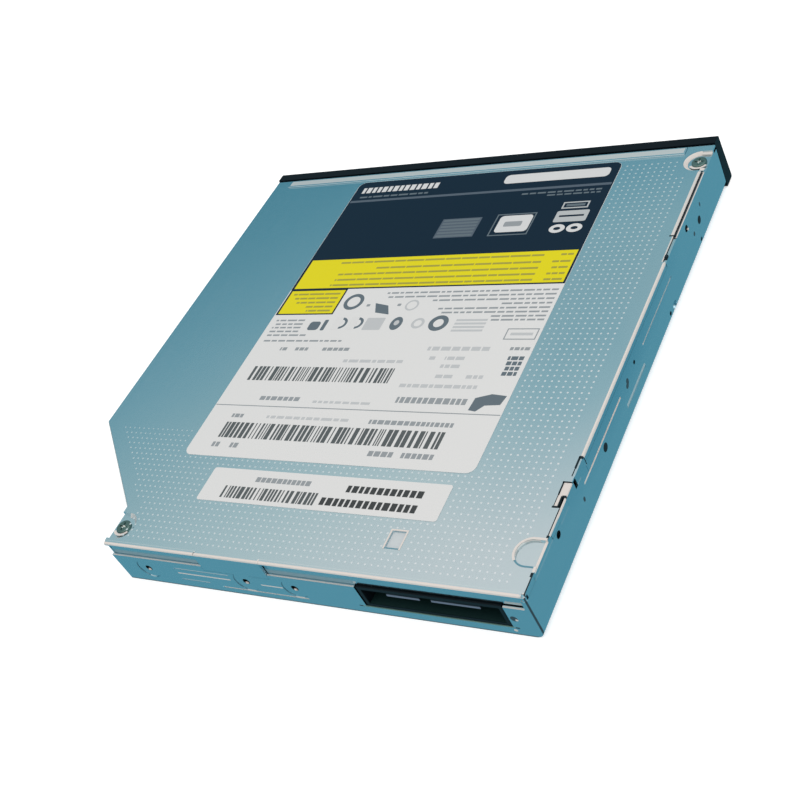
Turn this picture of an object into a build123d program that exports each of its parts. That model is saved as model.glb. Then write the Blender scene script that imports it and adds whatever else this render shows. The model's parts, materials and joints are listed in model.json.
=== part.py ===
from build123d import *
import math
import os

# Slim internal disc writer, label side up. The bezel is at -Y and the connector at +Y.
# The origin is under the spindle axis, on the underside. Sizes are in millimetres.

# Case outline
body_width = 128.0
body_depth = 126.1
body_height = 12.7
corner_cut = 24.5
rear_step = 10.05

# The places below are for this outline, and keep their share of the case when it is resized
drawn_case = (128.0, 126.1, 12.7)
wide = body_width / drawn_case[0]
long = body_depth / drawn_case[1]
tall = body_height / drawn_case[2]
plan = min(wide, long)


def across(*places):
    return tuple(place * wide for place in places)


def along(*places):
    return tuple(place * long for place in places)


def upward(*places):
    return tuple(place * tall for place in places)


def over(*places):
    return tuple(place * plan for place in places)


def spot(x, y):
    return x * wide, y * long


left_x = -body_width / 2
right_x = body_width / 2
front_y = -body_depth / 2
rear_y = body_depth / 2
step_x = right_x - corner_cut
cut_rear_y = rear_y - rear_step
cut_front_y = cut_rear_y - corner_cut

# Sheets and the gaps between fixed pieces
base_sheet = 0.6
cover_sheet = 0.5
seam = 0.05
running_gap = 0.1
moving_gap = 0.3

# Cover
strip_rise = 0.3
cover_top = body_height - strip_rise
cover_under = cover_top - cover_sheet
strip_front = 0.4
strip_depth = 2.7
strip_left_inset = 6.3
strip_right_inset = 5.3
bend_radius = 0.8
cover_side_inset = 0.7
side_flange_spans = [along(-23.0, 30.8), along(45.3, 49.2), along(58.4, 61.9)]
side_flange_drop = 1.45
side_notch_y = along(35.8, 45.3)
side_notch_inset = 1.8
hook_gap_y = along(30.8, 35.8)
set_in_y = along(-53.5, -23.2)
rear_flange_z = 8.0 * tall
rear_tab_x = across(-4.2, 13.3)
rear_tab_z = 7.1 * tall
wing_height = 6.5 * tall
wing_lip = 4.5 * wide
recess_depth = 0.7
recess_radius = 3.5
pocket_depth = 0.4
square_pocket = (*spot(-33.0, 53.9), 3.3, 4.0)
d_pocket_y = 53.6 * long
d_pocket_radius = 2.9
d_pocket_reach = 2.4

# Cover screws
front_screw = (left_x + 2.3, front_y + 5.55)
rear_screw = (step_x - 2.4, rear_y - 5.15)
screw_head_radius = 1.75
screw_head_height = 0.5
screw_shank_radius = 0.95
screw_shank_length = 2.0
drive_slot_width = 0.35
drive_slot_length = 2.1
drive_slot_depth = 0.25
thread_gap = 0.03

# Base
base_bend_radius = 2.2
rear_wall_top = 8.4 * tall
pan_wall_top = 5.4 * tall
side_wall_top = 10.9 * tall
side_wall_full = 12.0 * tall
hook_slot_y = along(31.2, 34.2)
hook_slot_z = upward(8.0, 10.2)
base_tab_y = along(37.0, 41.0)
front_wall_top = cover_top - recess_depth - cover_sheet
window_x = across(-58.2, -25.8)
side_hole_y = along(47.3, -36.9)
side_hole_z = 9.8 * tall
side_hole_radius = 0.8
collar_radius = 1.4
collar_length = 1.2
rear_hole_x = across(31.0, 3.3, -9.4)
rear_hole_z = 4.8 * tall
rear_hole_radius = 0.85
dish_radius = 3.0
dish_depth = 0.15
rear_collar_radius = 1.8
groove_depth = 0.15
groove_width = 0.4
rear_grooves = [(across(7.3, 22.6), 6.3), (across(-11.5, 11.4), 1.8), (across(14.5, 22.6), 2.6)]
side_grooves = [(along(-23.5, -3.3), 8.1), (along(11.9, 34.0), 8.3), (along(-1.1, 11.0), 4.2)]
wall_holes = [(-20.9 * long, 2.0, 1.1), (-17.9 * long, 2.5, 0.5), (2.6 * long, 8.6 * tall, 0.45),
              (-42.3 * long, 2.2, 0.5)]
under_bead_y = along(-40.0, 26.0)
under_bead_x = across(-44.0, -14.0, 14.0)
under_bead_width = 3.0
under_bead_depth = 0.25
lug_width = 5.0
lug_gap = 0.1

# Labels
label_thickness = 0.1
label_x = across(-42.8, 33.2)
label_y = along(-59.4, 36.9)
label_corner = 2.0
small_label_centre = spot(-9.2, 44.5)
small_label_size = (61.2 * wide, 9.0 * long)
small_label_corner = 0.6

# Rails and guides
rail_height = 3.0
rail_width = 2.5
rail_slot_depth = 1.2
tongue_thickness = 1.2
guide_wall = 0.7
guide_hold = 1.6
left_rail_z = 5.3 * tall
rail_front_y = -61.5 * long
left_rail_rear_y = 47.0 * long
right_rail_rear_y = 26.0 * long
peg_radius = 0.9
peg_y = along(23.3, -44.0)
peg_z = 6.3 * tall

# Tray
tray_travel = 123.0
floor_thickness = 1.2
floor_top = 9.3 * tall
floor_under = floor_top - floor_thickness
well_radius = 60.6 * plan
rim_top = 11.1 * tall
tray_front_y = front_y - moving_gap
tray_rear_y = 52.5 * long
tray_wall = 1.2
deep_left_x = -58.6 * wide
deep_right_x = 30.0 * wide
deep_rear_y = 34.0 * long
deep_bottom = 1.3
bottom_sheet = 0.3
connector_bay_x = -24.5 * wide
connector_bay_y = 49.3 * long
rim_half_width = 59.6 * wide
rear_corner_gap = 1.5
ribbon_lane_x = across(16.8, 28.4)
ribbon_lane_z = 2.3

# Mechanism, turned about the spindle so that the pickup runs to the front left corner.
# u is across the rods and v is the distance from the spindle along them.
mechanism_turn = 45.0
opening_u = 20.0 * plan
opening_v = over(-17.0, 62.0)
opening_chamfer = 8.0 * plan
ledge = 1.2
mechanism_cover_sheet = 0.3
lens_slot_u = 8.0 * plan
lens_slot_v = over(13.8, 60.5)
frame_z = upward(2.3, 5.2)
frame_u = 22.0 * plan
frame_v = over(-17.5, 63.9)
frame_chamfer = 5.2
frame_rail = 2.0
frame_bay_chamfer = 2.2
frame_low_rail_z = 3.8
pickup_bay_u = 19.8 * plan
pickup_bay_v = over(14.6, 61.9)
ear_radius = 4.2
ear_z = upward(3.4, 4.6)
ears = [over(-26.0, 8.0), over(27.0, -4.0), over(-26.2, 46.0)]
damper_radius = 3.5
damper_waist = 2.5
damper_lip = 0.9
post_radius = 1.25
damper_screw_head = 2.2
damper_screw_head_height = 0.6
damper_screw_shank = 0.7
damper_screw_length = 3.0

# Spindle
disc_seat_z = 9.9 * tall
rotor_radius = 13.2 * plan
rotor_wall = 0.8
rotor_bottom = 4.0 * tall
rotor_top = 9.2 * tall
rotor_roof = 0.9
ring_width = 2.2
hub_radius = 7.4 * plan
hub_top = 11.3 * tall
hub_dome = 0.8
shaft_radius = 1.0
bearing_radius = 2.6
bearing_top = 7.9 * tall
stator_radius = rotor_radius - rotor_wall - 2.9
stator_core = 5.0
stator_teeth = 9
tooth_half_width = 1.0
shoe_depth = 1.0
shoe_half_width = 2.6
stator_z = upward(3.5, 6.4)
motor_plate_z = (1.75, 2.25)
motor_plate_radius = 15.5 * plan
claw_count = 3
claw_width = 2.4
claw_reach = 0.5
claw_travel = 0.5
claw_depth = 2.6
claw_z = upward(10.3, 10.9)

# Pickup
rod_z = 4.3 * tall
rod_radius = 1.1
rod_u = over(-16.2, 16.2)
rod_fit = 0.05
lens_inner = 22.5 * plan
pickup_back = 6.5 * plan
pickup_front = 5.0 * plan
pickup_half_width = 13.5 * plan
pickup_z = upward(2.7, 7.6)
lug_outer = 2.3
lug_inset = 1.0
lens_pocket = 4.6 * plan
lens_pocket_floor = 5.2 * tall
holder_half = 3.6
holder_z = upward(6.1, 8.3)
lens_radius = 2.1
lens_rise = 0.5
focus_travel = 0.4
pickup_cover_sheet = 0.25
wire_pad = 1.2

# Feed drive
screw_u = 26.0 * plan
screw_radius = 1.0
screw_core = 0.8
screw_pitch = 3.0
screw_v = over(15.6, 58.0)
motor_radius = 2.9
motor_v = over(5.0, 14.8)
bracket_sheet = 0.6
bracket_half = 2.3
nut_v = 20.5 * plan
nut_width = 3.0
nut_z = upward(4.1, 5.6)
nut_gap = 0.15
bracket_tabs_v = over(20.0, 50.0)
bracket_tab = 4.0

# Latch
lock_post = spot(35.0, -50.0)
lock_post_radius = 1.5
lock_post_top = 5.0 * tall
lock_flange_radius = 2.6
lock_flange_height = 0.35
latch_pivot = spot(30.5, -36.0)
latch_pivot_radius = 1.2
latch_z = upward(3.0, 4.2)
latch_arm = 1.9
latch_hook_gap = 0.25
latch_tail_x = 12.6 * wide
yoke_x = across(14.9, 23.4)
yoke_leg = 1.8
yoke_y = along(-52.0, -39.1)
yoke_z = upward(2.6, 6.2)
armature_thickness = 1.0
coil_growth = 1.1
coil_ends = 1.4
coil_gap = 0.1
latch_bay_y = along(-59.5, -33.5)
spring_wire = 0.25
spring_turns = 3.0

# Pusher
pusher_x = 31.4 * wide
pusher_z = 6.7 * tall
pusher_radius = 0.9
pusher_front_y = 28.0 * long
pusher_lug_y = along(36.5, 48.5)
pusher_lug = 1.6
pusher_lug_half = 1.6
pusher_collar_radius = 1.35
pusher_collar_y = 47.0 * long
pusher_give = 1.0
pusher_spring_wire = 0.3
pusher_spring_radius = 1.17
pusher_spring_turns = 6.0

# Bezel
bezel_back_y = tray_front_y
bezel_top_depth = 2.85
bezel_bottom_depth = 3.85
bezel_bottom = 0.2
bezel_round = 0.5
button_x = 24.0 * wide
button_z = 5.9 * tall
button_size = (9.0, 3.0)
button_gap = 0.2
button_travel = 0.5
button_flange = 0.8
stem_size = (2.4, 1.4)
lamp_x = 17.0 * wide
lamp_z = 5.9 * tall
lamp_radius = 0.9
pinhole_z = 3.6 * tall
pinhole_radius = 0.6
clip_x = across(-52.0, -20.0, 46.0)
clip_width = 5.0
clip_z = upward(8.6, 9.8)
clip_reach = 2.2

# Boards
board_thickness = 0.8
board_z = 1.5
main_board_x = (-60.3 * wide, step_x - 1.6)
main_board_y = along(36.4, 62.2)
standoffs = [spot(-50.0, 40.0), spot(-16.0, 40.2), spot(33.0, 52.0)]
standoff_radius = 2.0
board_hole_radius = 1.1
board_screw_head_radius = 1.7
board_screw_head_height = 0.6
board_screw_shank_radius = 0.85
connector_x = across(-57.9, -26.1)
connector_y = along(51.0, 62.9)
connector_top = 8.4 * tall
window_z = (board_z + board_thickness, 8.75 * tall)
connector_wall = 0.8
power_tongue_x = across(-39.5, -32.1)
signal_tongue_x = across(-52.6, -42.1)
tongue_z = upward(5.9, 6.9)
tongue_back_y = 53.5 * long
tongue_front_y = 62.4 * long
contact_pitch = 1.27
contact_width = 0.6
contact_height = 0.08
contact_length = 6.0
power_contacts = 6
signal_contacts = 7
controller = (*spot(-37.0, 44.2), 10.0, 10.0, 1.2)
driver = (*spot(-3.0, 50.0), 9.0, 9.0, 1.1)
memory = (*spot(10.5, 46.0), 6.0, 5.0, 1.0)
capacitor_sites = [spot(22.0, 56.5), spot(27.5, 56.5), spot(-20.0, 55.5), spot(-14.5, 55.5)]
capacitor_size = (3.2, 1.8, 1.7)
chip_seat = 0.1
lead_width = 0.35
lead_reach = 0.8
ribbon_x = across(17.8, 27.4)
ribbon_thickness = 0.12
ribbon_low_z = 0.72
ribbon_high_z = 1.45
ribbon_bend_y = -31.0 * long
socket_depth = 4.0
socket_height = 1.6
ribbon_entry = 0.8
tray_board_z = 5.6 * tall
tray_board_y = along(22.5, 32.5)
button_board_x = across(13.0, 28.5)
button_board_y = along(-61.4, -53.2)
button_board_z = 7.2 * tall
switch_size = (5.0, 4.2, 2.0)
plunger_radius = 0.55
plunger_length = 0.7


def block(x_span, y_span, z_span):
    """A box between two limits on each axis."""
    size = [high - low for low, high in (x_span, y_span, z_span)]
    middle = [(high + low) / 2 for low, high in (x_span, y_span, z_span)]
    return Pos(*middle) * Box(*size)


def around(centre, half):
    return centre - half, centre + half


def disc(x, y, radius, z_span):
    low, high = z_span
    return Pos(x, y, (low + high) / 2) * Cylinder(radius, high - low)


def bar_y(x, z, radius, y_span):
    low, high = y_span
    return Pos(x, (low + high) / 2, z) * Rot(90, 0, 0) * Cylinder(radius, high - low)


def bar_x(y, z, radius, x_span):
    low, high = x_span
    return Pos((low + high) / 2, y, z) * Rot(0, 90, 0) * Cylinder(radius, high - low)


def slab(outline, z_span):
    """A flat outline, given as points or a sketch, made solid between two heights."""
    low, high = z_span
    flat = make_face(Polyline(*outline, close=True)) if isinstance(outline, list) else outline
    return Pos(0, 0, low) * extrude(flat, high - low, dir=(0, 0, 1))


def joined(pieces):
    whole = pieces[0]
    for piece in pieces[1:]:
        whole += piece
    return whole


def turned(piece):
    """Places a piece of the mechanism, drawn along -Y, on its slanted line."""
    return Rot(0, 0, -mechanism_turn) * piece


def turned_point(u, v):
    angle = math.radians(mechanism_turn)
    return u * math.cos(angle) - v * math.sin(angle), -u * math.sin(angle) - v * math.cos(angle)


def cut_line(y, inset):
    """The x of the slanted rear corner at a given y, moved in by a gap."""
    return right_x + cut_front_y - inset * math.sqrt(2) - y


def screw(x, y, seat_z, head, head_height, shank, length):
    """A pan screw with a crossed slot, its head on seat_z."""
    body = disc(x, y, head, (seat_z, seat_z + head_height))
    body = fillet(body.edges().group_by(Axis.Z)[-1], head_height / 2)
    body += disc(x, y, shank, (seat_z - length, seat_z))
    slot_z = (seat_z + head_height - drive_slot_depth, seat_z + head_height)
    half_long = min(drive_slot_length / 2, head - drive_slot_width)
    half_wide = drive_slot_width / 2
    body -= block(around(x, half_long), around(y, half_wide), slot_z)
    body -= block(around(x, half_wide), around(y, half_long), slot_z)
    return body


def cover_outline():
    """The cover seen from above, with its set-in left and rear edges."""
    set_in_x = left_x + cover_side_inset
    notch_x = left_x + side_notch_inset
    rear = rear_y - base_sheet - seam
    return [
        (left_x, front_y), (right_x, front_y), (right_x, cut_front_y), (step_x, cut_rear_y),
        (step_x, rear), (rear_tab_x[1], rear), (rear_tab_x[1], rear_y), (rear_tab_x[0], rear_y),
        (rear_tab_x[0], rear), (left_x, rear), (left_x, side_notch_y[1]),
        (notch_x, side_notch_y[1]), (notch_x, side_notch_y[0]), (set_in_x, side_notch_y[0]),
        (set_in_x, hook_gap_y[0]), (left_x, hook_gap_y[0]), (left_x, set_in_y[1]),
        (set_in_x, set_in_y[1]), (set_in_x, set_in_y[0]), (left_x, set_in_y[0]),
    ]


def press_pocket(cover, shape, depth):
    """Presses an outline down into the sheet, keeping the sheet's thickness."""
    floor = cover_top - depth
    tub = slab(offset(shape, cover_sheet), (floor - cover_sheet, cover_under))
    keep = slab(cover_outline(), (floor - cover_sheet, cover_top))
    return cover + (tub & keep) - slab(shape, (floor, body_height))


def screw_recess(centre, edge_x):
    """A round recess that runs out through the edge beside it."""
    x, y = centre
    run = Pos((x + edge_x) / 2, y) * Rectangle(abs(edge_x - x), 2 * recess_radius)
    return Pos(x, y) * Circle(recess_radius) + run


def wing_flange():
    """The cover's folded edge round the right side and the cut corner."""
    bottom = cover_top - wing_height
    inner_x = right_x - cover_sheet
    far = body_width
    outer = slab([(step_x, front_y), (right_x, front_y), (right_x, cut_front_y),
                  (step_x, cut_rear_y)], (bottom, cover_under))
    cavity = slab([(step_x - far, front_y - far), (inner_x, front_y - far),
                   (inner_x, cut_line(inner_x, cover_sheet)),
                   (step_x - far, cut_line(step_x - far, cover_sheet))],
                  (bottom + cover_sheet, cover_under))
    lip_x = right_x - wing_lip
    hollow = slab([(step_x - far, front_y - far), (lip_x, front_y - far),
                   (lip_x, cut_line(lip_x, cover_sheet)),
                   (step_x - far, cut_line(step_x - far, cover_sheet))], (bottom, cover_under))
    return outer - cavity - hollow


def top_cover():
    cover = slab(cover_outline(), (cover_under, cover_top))
    strip = block((left_x + strip_left_inset, right_x - strip_right_inset),
                  (front_y + strip_front, front_y + strip_front + strip_depth),
                  (cover_top, body_height))
    cover += fillet(strip.edges().group_by(Axis.Z)[-1], strip_rise / 2)
    for low, high in side_flange_spans:
        cover += block((left_x, left_x + cover_sheet), (low, high),
                       (cover_top - side_flange_drop, cover_under))
    rear = rear_y - base_sheet - seam
    flange_y = (rear - cover_sheet, rear)
    cover += block((window_x[1], rear_tab_x[0]), flange_y, (rear_flange_z, cover_under))
    cover += block((rear_tab_x[1], step_x - base_sheet - seam), flange_y,
                   (rear_flange_z, cover_under))
    cover += block((left_x + 2 * base_sheet, window_x[1]), flange_y, (window_z[1], cover_under))
    cover += block(rear_tab_x, (rear_y - cover_sheet, rear_y), (rear_tab_z, cover_under))
    cover += block((step_x - cover_sheet, step_x), (cut_rear_y - cover_sheet, rear),
                   (rear_wall_top + seam, cover_under))
    cover += wing_flange()
    bends = [edge for edge in cover.edges() if is_bend(edge)]
    cover = fillet(bends, bend_radius / 2)
    for centre, edge_x in ((front_screw, left_x), (rear_screw, step_x)):
        cover = press_pocket(cover, screw_recess(centre, edge_x), recess_depth)
        cover -= disc(*centre, screw_shank_radius + running_gap, (0, body_height))
    x, y, width, length = square_pocket
    cover = press_pocket(cover, Pos(x, y) * RectangleRounded(width, length, cover_sheet),
                         pocket_depth)
    d_middle = left_x + d_pocket_reach / 2
    d_shape = Pos(d_middle, d_pocket_y) * Rectangle(d_pocket_reach, 2 * d_pocket_radius)
    d_shape += Pos(left_x + d_pocket_reach, d_pocket_y) * Circle(d_pocket_radius)
    return press_pocket(cover, d_shape, pocket_depth)


def is_bend(edge):
    """True for the long outer top edges that a folded sheet rounds off."""
    centre = edge.center()
    if abs(centre.Z - cover_top) > seam:
        return False
    on_right = abs(centre.X - right_x) < seam
    on_cut = abs(centre.X + centre.Y - right_x - cut_front_y) < seam
    on_rear = centre.Y > rear_y - base_sheet - 2 * seam
    on_flange = abs(centre.X - left_x) < seam and set_in_y[1] < centre.Y < hook_gap_y[0]
    return on_right or on_cut or on_rear or on_flange


def pan_walls():
    """The folded pan with its rear, left and low right walls."""
    inner_right = step_x - base_sheet
    outer = block((left_x, step_x), (front_y, rear_y), (0, side_wall_full))
    outer = fillet(outer.edges().filter_by(Axis.Y).group_by(Axis.Z)[0].sort_by(Axis.X)[0],
                   base_bend_radius)
    inner = block((left_x + base_sheet, inner_right), (front_y - base_sheet, rear_y - base_sheet),
                  (base_sheet, body_height))
    inner = fillet(inner.edges().filter_by(Axis.Y).group_by(Axis.Z)[0].sort_by(Axis.X)[0],
                   base_bend_radius - base_sheet)
    shell = outer - inner
    past = base_sheet / 2
    wall_x = (left_x - past, left_x + base_sheet + past)
    tops = [((front_y - past, set_in_y[0]), front_wall_top),
            ((set_in_y[1], hook_gap_y[0]), side_wall_top),
            ((hook_gap_y[0], base_tab_y[0]), hook_slot_z[1]),
            ((base_tab_y[1], side_notch_y[1]), hook_slot_z[1]),
            ((side_notch_y[1], rear_y + past), side_wall_top)]
    for span, top in tops:
        shell -= block(wall_x, span, (top, body_height))
    right_wall_x = (inner_right - past, step_x + past)
    shell -= block(right_wall_x, (front_y - past, cut_rear_y), (pan_wall_top, body_height))
    shell -= block(right_wall_x, (cut_rear_y, rear_y + past), (rear_wall_top, body_height))
    rear_wall_y = (rear_y - base_sheet - past, rear_y + past)
    low_x = left_x + 2 * base_sheet
    shell -= block((low_x, step_x + past), rear_wall_y, (rear_wall_top, body_height))
    shell -= block((rear_tab_x[0] - seam, rear_tab_x[1] + seam), rear_wall_y,
                   (rear_tab_z - seam, body_height))
    shell -= block(window_x, rear_wall_y, (window_z[0], body_height))
    shell -= block((left_x - past, low_x), rear_wall_y, (side_wall_top, body_height))
    return shell


def base_shell():
    base = pan_walls()
    inner_left = left_x + base_sheet
    for y in side_hole_y:
        base += bar_x(y, side_hole_z, collar_radius, (inner_left, inner_left + collar_length))
        base -= bar_x(y, side_hole_z, side_hole_radius, (left_x, inner_left + collar_length))
    inner_rear = rear_y - base_sheet
    for x in rear_hole_x:
        base += bar_y(x, rear_hole_z, rear_collar_radius, (inner_rear - dish_depth, inner_rear))
        base -= bar_y(x, rear_hole_z, dish_radius, (rear_y - dish_depth, rear_y))
        base -= bar_y(x, rear_hole_z, rear_hole_radius, (inner_rear - dish_depth, rear_y))
    for span, z in rear_grooves:
        base -= block(span, (rear_y - groove_depth, rear_y), around(z, groove_width / 2))
    for span, z in side_grooves:
        base -= block((left_x, left_x + groove_depth), span, around(z, groove_width / 2))
    for y, z, radius in wall_holes:
        base -= bar_x(y, z, radius, (left_x, inner_left))
    for y in peg_y:
        base -= bar_x(y, peg_z, peg_radius + seam, (left_x, inner_left))
    base -= block((left_x, inner_left), hook_slot_y, hook_slot_z)
    base += block((inner_left, front_screw[0] + side_notch_inset - base_sheet),
                  around(front_screw[1], lug_width / 2), (front_wall_top - base_sheet, front_wall_top))
    lug_x = around(rear_screw[0], lug_width / 2 - base_sheet)
    lug_y = inner_rear - seam - cover_sheet - lug_gap
    base += block(lug_x, (lug_y - base_sheet, lug_y), (base_sheet, front_wall_top))
    base += block(lug_x, (rear_screw[1] - lug_width / 2, lug_y),
                  (front_wall_top - base_sheet, front_wall_top))
    for centre in (front_screw, rear_screw):
        base -= disc(*centre, screw_shank_radius + thread_gap, (board_z, body_height))
    for x, y in standoffs:
        base += disc(x, y, standoff_radius, (base_sheet, board_z))
        base -= disc(x, y, board_screw_shank_radius + thread_gap, (base_sheet / 2, board_z))
    for x in under_bead_x:
        low, high = under_bead_y
        bead = Pos(x, (low + high) / 2) * Rot(0, 0, 90) * SlotOverall(high - low, under_bead_width)
        base -= slab(bead, (0, under_bead_depth))
    return base


def product_label():
    size = (label_x[1] - label_x[0], label_y[1] - label_y[0])
    middle = (sum(label_x) / 2, sum(label_y) / 2)
    return slab(Pos(*middle) * RectangleRounded(*size, label_corner),
                (cover_top, cover_top + label_thickness))


def small_label():
    shape = RectangleRounded(*small_label_size, small_label_corner)
    return slab(Pos(*small_label_centre) * shape,
                (cover_top, cover_top + label_thickness))


def cover_screws():
    seat = cover_top - recess_depth
    return joined([screw(*centre, seat, screw_head_radius, screw_head_height,
                         screw_shank_radius, screw_shank_length)
                   for centre in (front_screw, rear_screw)])


def main_board():
    x0, x1 = main_board_x
    board = block(main_board_x, main_board_y, (board_z, board_z + board_thickness))
    for x, y in standoffs:
        board -= disc(x, y, board_hole_radius, (board_z, board_z + board_thickness))
    lug_low = rear_screw[0] - lug_width / 2 - lug_gap
    board -= block((lug_low, x1), (main_board_y[1] - lug_width / 2, main_board_y[1]),
                   (board_z, board_z + board_thickness))
    return board


def board_screws():
    seat = board_z + board_thickness
    return joined([screw(x, y, seat, board_screw_head_radius, board_screw_head_height,
                         board_screw_shank_radius, seat - base_sheet)
                   for x, y in standoffs])


def sata_connector():
    top_of_board = board_z + board_thickness
    shell = block(connector_x, connector_y, (top_of_board, connector_top))
    cavity_x = (connector_x[0] + connector_wall, connector_x[1] - connector_wall)
    shell -= block(cavity_x, (tongue_back_y, connector_y[1]),
                   (top_of_board + connector_wall, connector_top - connector_wall))
    for span in (power_tongue_x, signal_tongue_x):
        shell += block(span, (tongue_back_y, tongue_front_y), tongue_z)
    return shell


def connector_contacts():
    strips = []
    for span, count in ((power_tongue_x, power_contacts), (signal_tongue_x, signal_contacts)):
        middle = sum(span) / 2
        for index in range(count):
            x = middle + (index - (count - 1) / 2) * contact_pitch
            strips.append(block(around(x, contact_width / 2),
                                (tongue_front_y - contact_length, tongue_front_y - moving_gap),
                                (tongue_z[0] - contact_height, tongue_z[0])))
    return joined(strips)


def chip(site):
    """A square chip with a row of short leads on each side."""
    x, y, width, length, height = site
    low = board_z + board_thickness
    body = block(around(x, width / 2), around(y, length / 2), (low + chip_seat, low + height))
    body = chamfer(body.edges().group_by(Axis.Z)[-1], chip_seat)
    pitch = 2 * lead_width
    lead_z = (low, low + 2 * chip_seat)
    for index in range(int((width - pitch) / (2 * pitch)) + 1):
        offset_by = (index - int((width - pitch) / (2 * pitch)) / 2) * 2 * pitch
        body += block(around(x + offset_by, lead_width / 2),
                      around(y, length / 2 + lead_reach), lead_z)
    return body


def board_capacitors():
    low = board_z + board_thickness
    width, length, height = capacitor_size
    return joined([block(around(x, width / 2), around(y, length / 2), (low, low + height))
                   for x, y in capacitor_sites])


def guide(y_span, centre_z, back_x, facing):
    """A channel that holds the outer half of a rail; facing is the side it opens to."""
    half = rail_height / 2 + running_gap
    depth = guide_wall + running_gap + guide_hold
    near, far = sorted((back_x, back_x + facing * depth))
    body = block((near, far), y_span, around(centre_z, half + guide_wall))
    slot = sorted((back_x + facing * guide_wall, back_x + facing * depth))
    return body - block(slot, y_span, around(centre_z, half))


left_back_x = left_x + base_sheet
right_back_x = right_x - cover_sheet
right_rail_z = floor_top - tongue_thickness / 2


def left_guide():
    body = guide((rail_front_y - running_gap, left_rail_rear_y + base_sheet), left_rail_z, left_back_x, 1)
    for y in peg_y:
        body += bar_x(y, peg_z, peg_radius, (left_x, left_back_x))
    return body


def right_guide():
    return guide((rail_front_y - running_gap, right_rail_rear_y), right_rail_z, right_back_x, -1)


def rail(y_span, centre_z, back_x, facing):
    """A bar with a groove on its inner side for the tray's tongue."""
    outer_x = back_x + facing * (guide_wall + running_gap)
    inner_x = outer_x + facing * rail_width
    bar = block(sorted((outer_x, inner_x)), y_span, around(centre_z, rail_height / 2))
    groove_x = sorted((inner_x - facing * rail_slot_depth, inner_x))
    return bar - block(groove_x, y_span, around(centre_z, tongue_thickness / 2 + running_gap))


def left_rail():
    return rail((rail_front_y, left_rail_rear_y), left_rail_z, left_back_x, 1)


def right_rail():
    return rail((rail_front_y, right_rail_rear_y), right_rail_z, right_back_x, -1)


def rail_groove_x(back_x, facing):
    """How far out the tongue reaches into the rail's groove."""
    return back_x + facing * (guide_wall + rail_width - rail_slot_depth + 2 * running_gap)


def opening_outline(grow):
    """The slanted opening over the mechanism, in its own u and v."""
    half = opening_u + grow
    back = opening_v[0] - grow
    front = opening_v[1] + grow
    corner = opening_chamfer
    return [(-half, -back), (half, -back), (half, -front + corner), (half - corner, -front),
            (corner - half, -front), (-half, -front + corner)]


def tray_floor():
    left_edge = deep_left_x - tray_wall
    right_edge = rail_groove_x(right_back_x, -1)
    tongue_end = right_rail_rear_y
    narrow = right_edge - rail_slot_depth - rail_width / 2
    outline = [
        (left_edge, tray_front_y), (deep_left_x + tray_wall, tray_front_y),
        (right_edge, tray_front_y), (right_edge, tongue_end - 2 * running_gap),
        (narrow, tongue_end + running_gap), (cut_line(tray_rear_y, rear_corner_gap), tray_rear_y),
        (connector_bay_x, tray_rear_y), (connector_bay_x, connector_bay_y),
        (left_edge, connector_bay_y),
    ]
    return slab(outline, (floor_under, floor_top))


def tray_rim():
    """The raised corners outside the disc's round well."""
    half = rim_half_width
    outline = [(-half, tray_front_y), (half, tray_front_y),
               (half, cut_line(half, rear_corner_gap)),
               (cut_line(tray_rear_y, rear_corner_gap), tray_rear_y),
               (connector_bay_x, tray_rear_y), (connector_bay_x, connector_bay_y),
               (-half, connector_bay_y)]
    return slab(outline, (floor_top, rim_top)) - disc(0, 0, well_radius, (floor_top, rim_top))


def deep_box():
    """The wall that hangs below the floor round the mechanism, with the latch bay open."""
    outer = block((deep_left_x, deep_right_x), (tray_front_y, deep_rear_y), (deep_bottom, floor_under))
    inner = block((deep_left_x + tray_wall, deep_right_x - tray_wall),
                  (tray_front_y + tray_wall, deep_rear_y - tray_wall), (deep_bottom, floor_under))
    walls = outer - inner
    walls -= block((deep_right_x - tray_wall, deep_right_x), latch_bay_y, (deep_bottom, floor_under))
    walls -= block(ribbon_lane_x, (deep_rear_y - tray_wall, deep_rear_y), (deep_bottom, ribbon_lane_z))
    return walls


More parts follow.
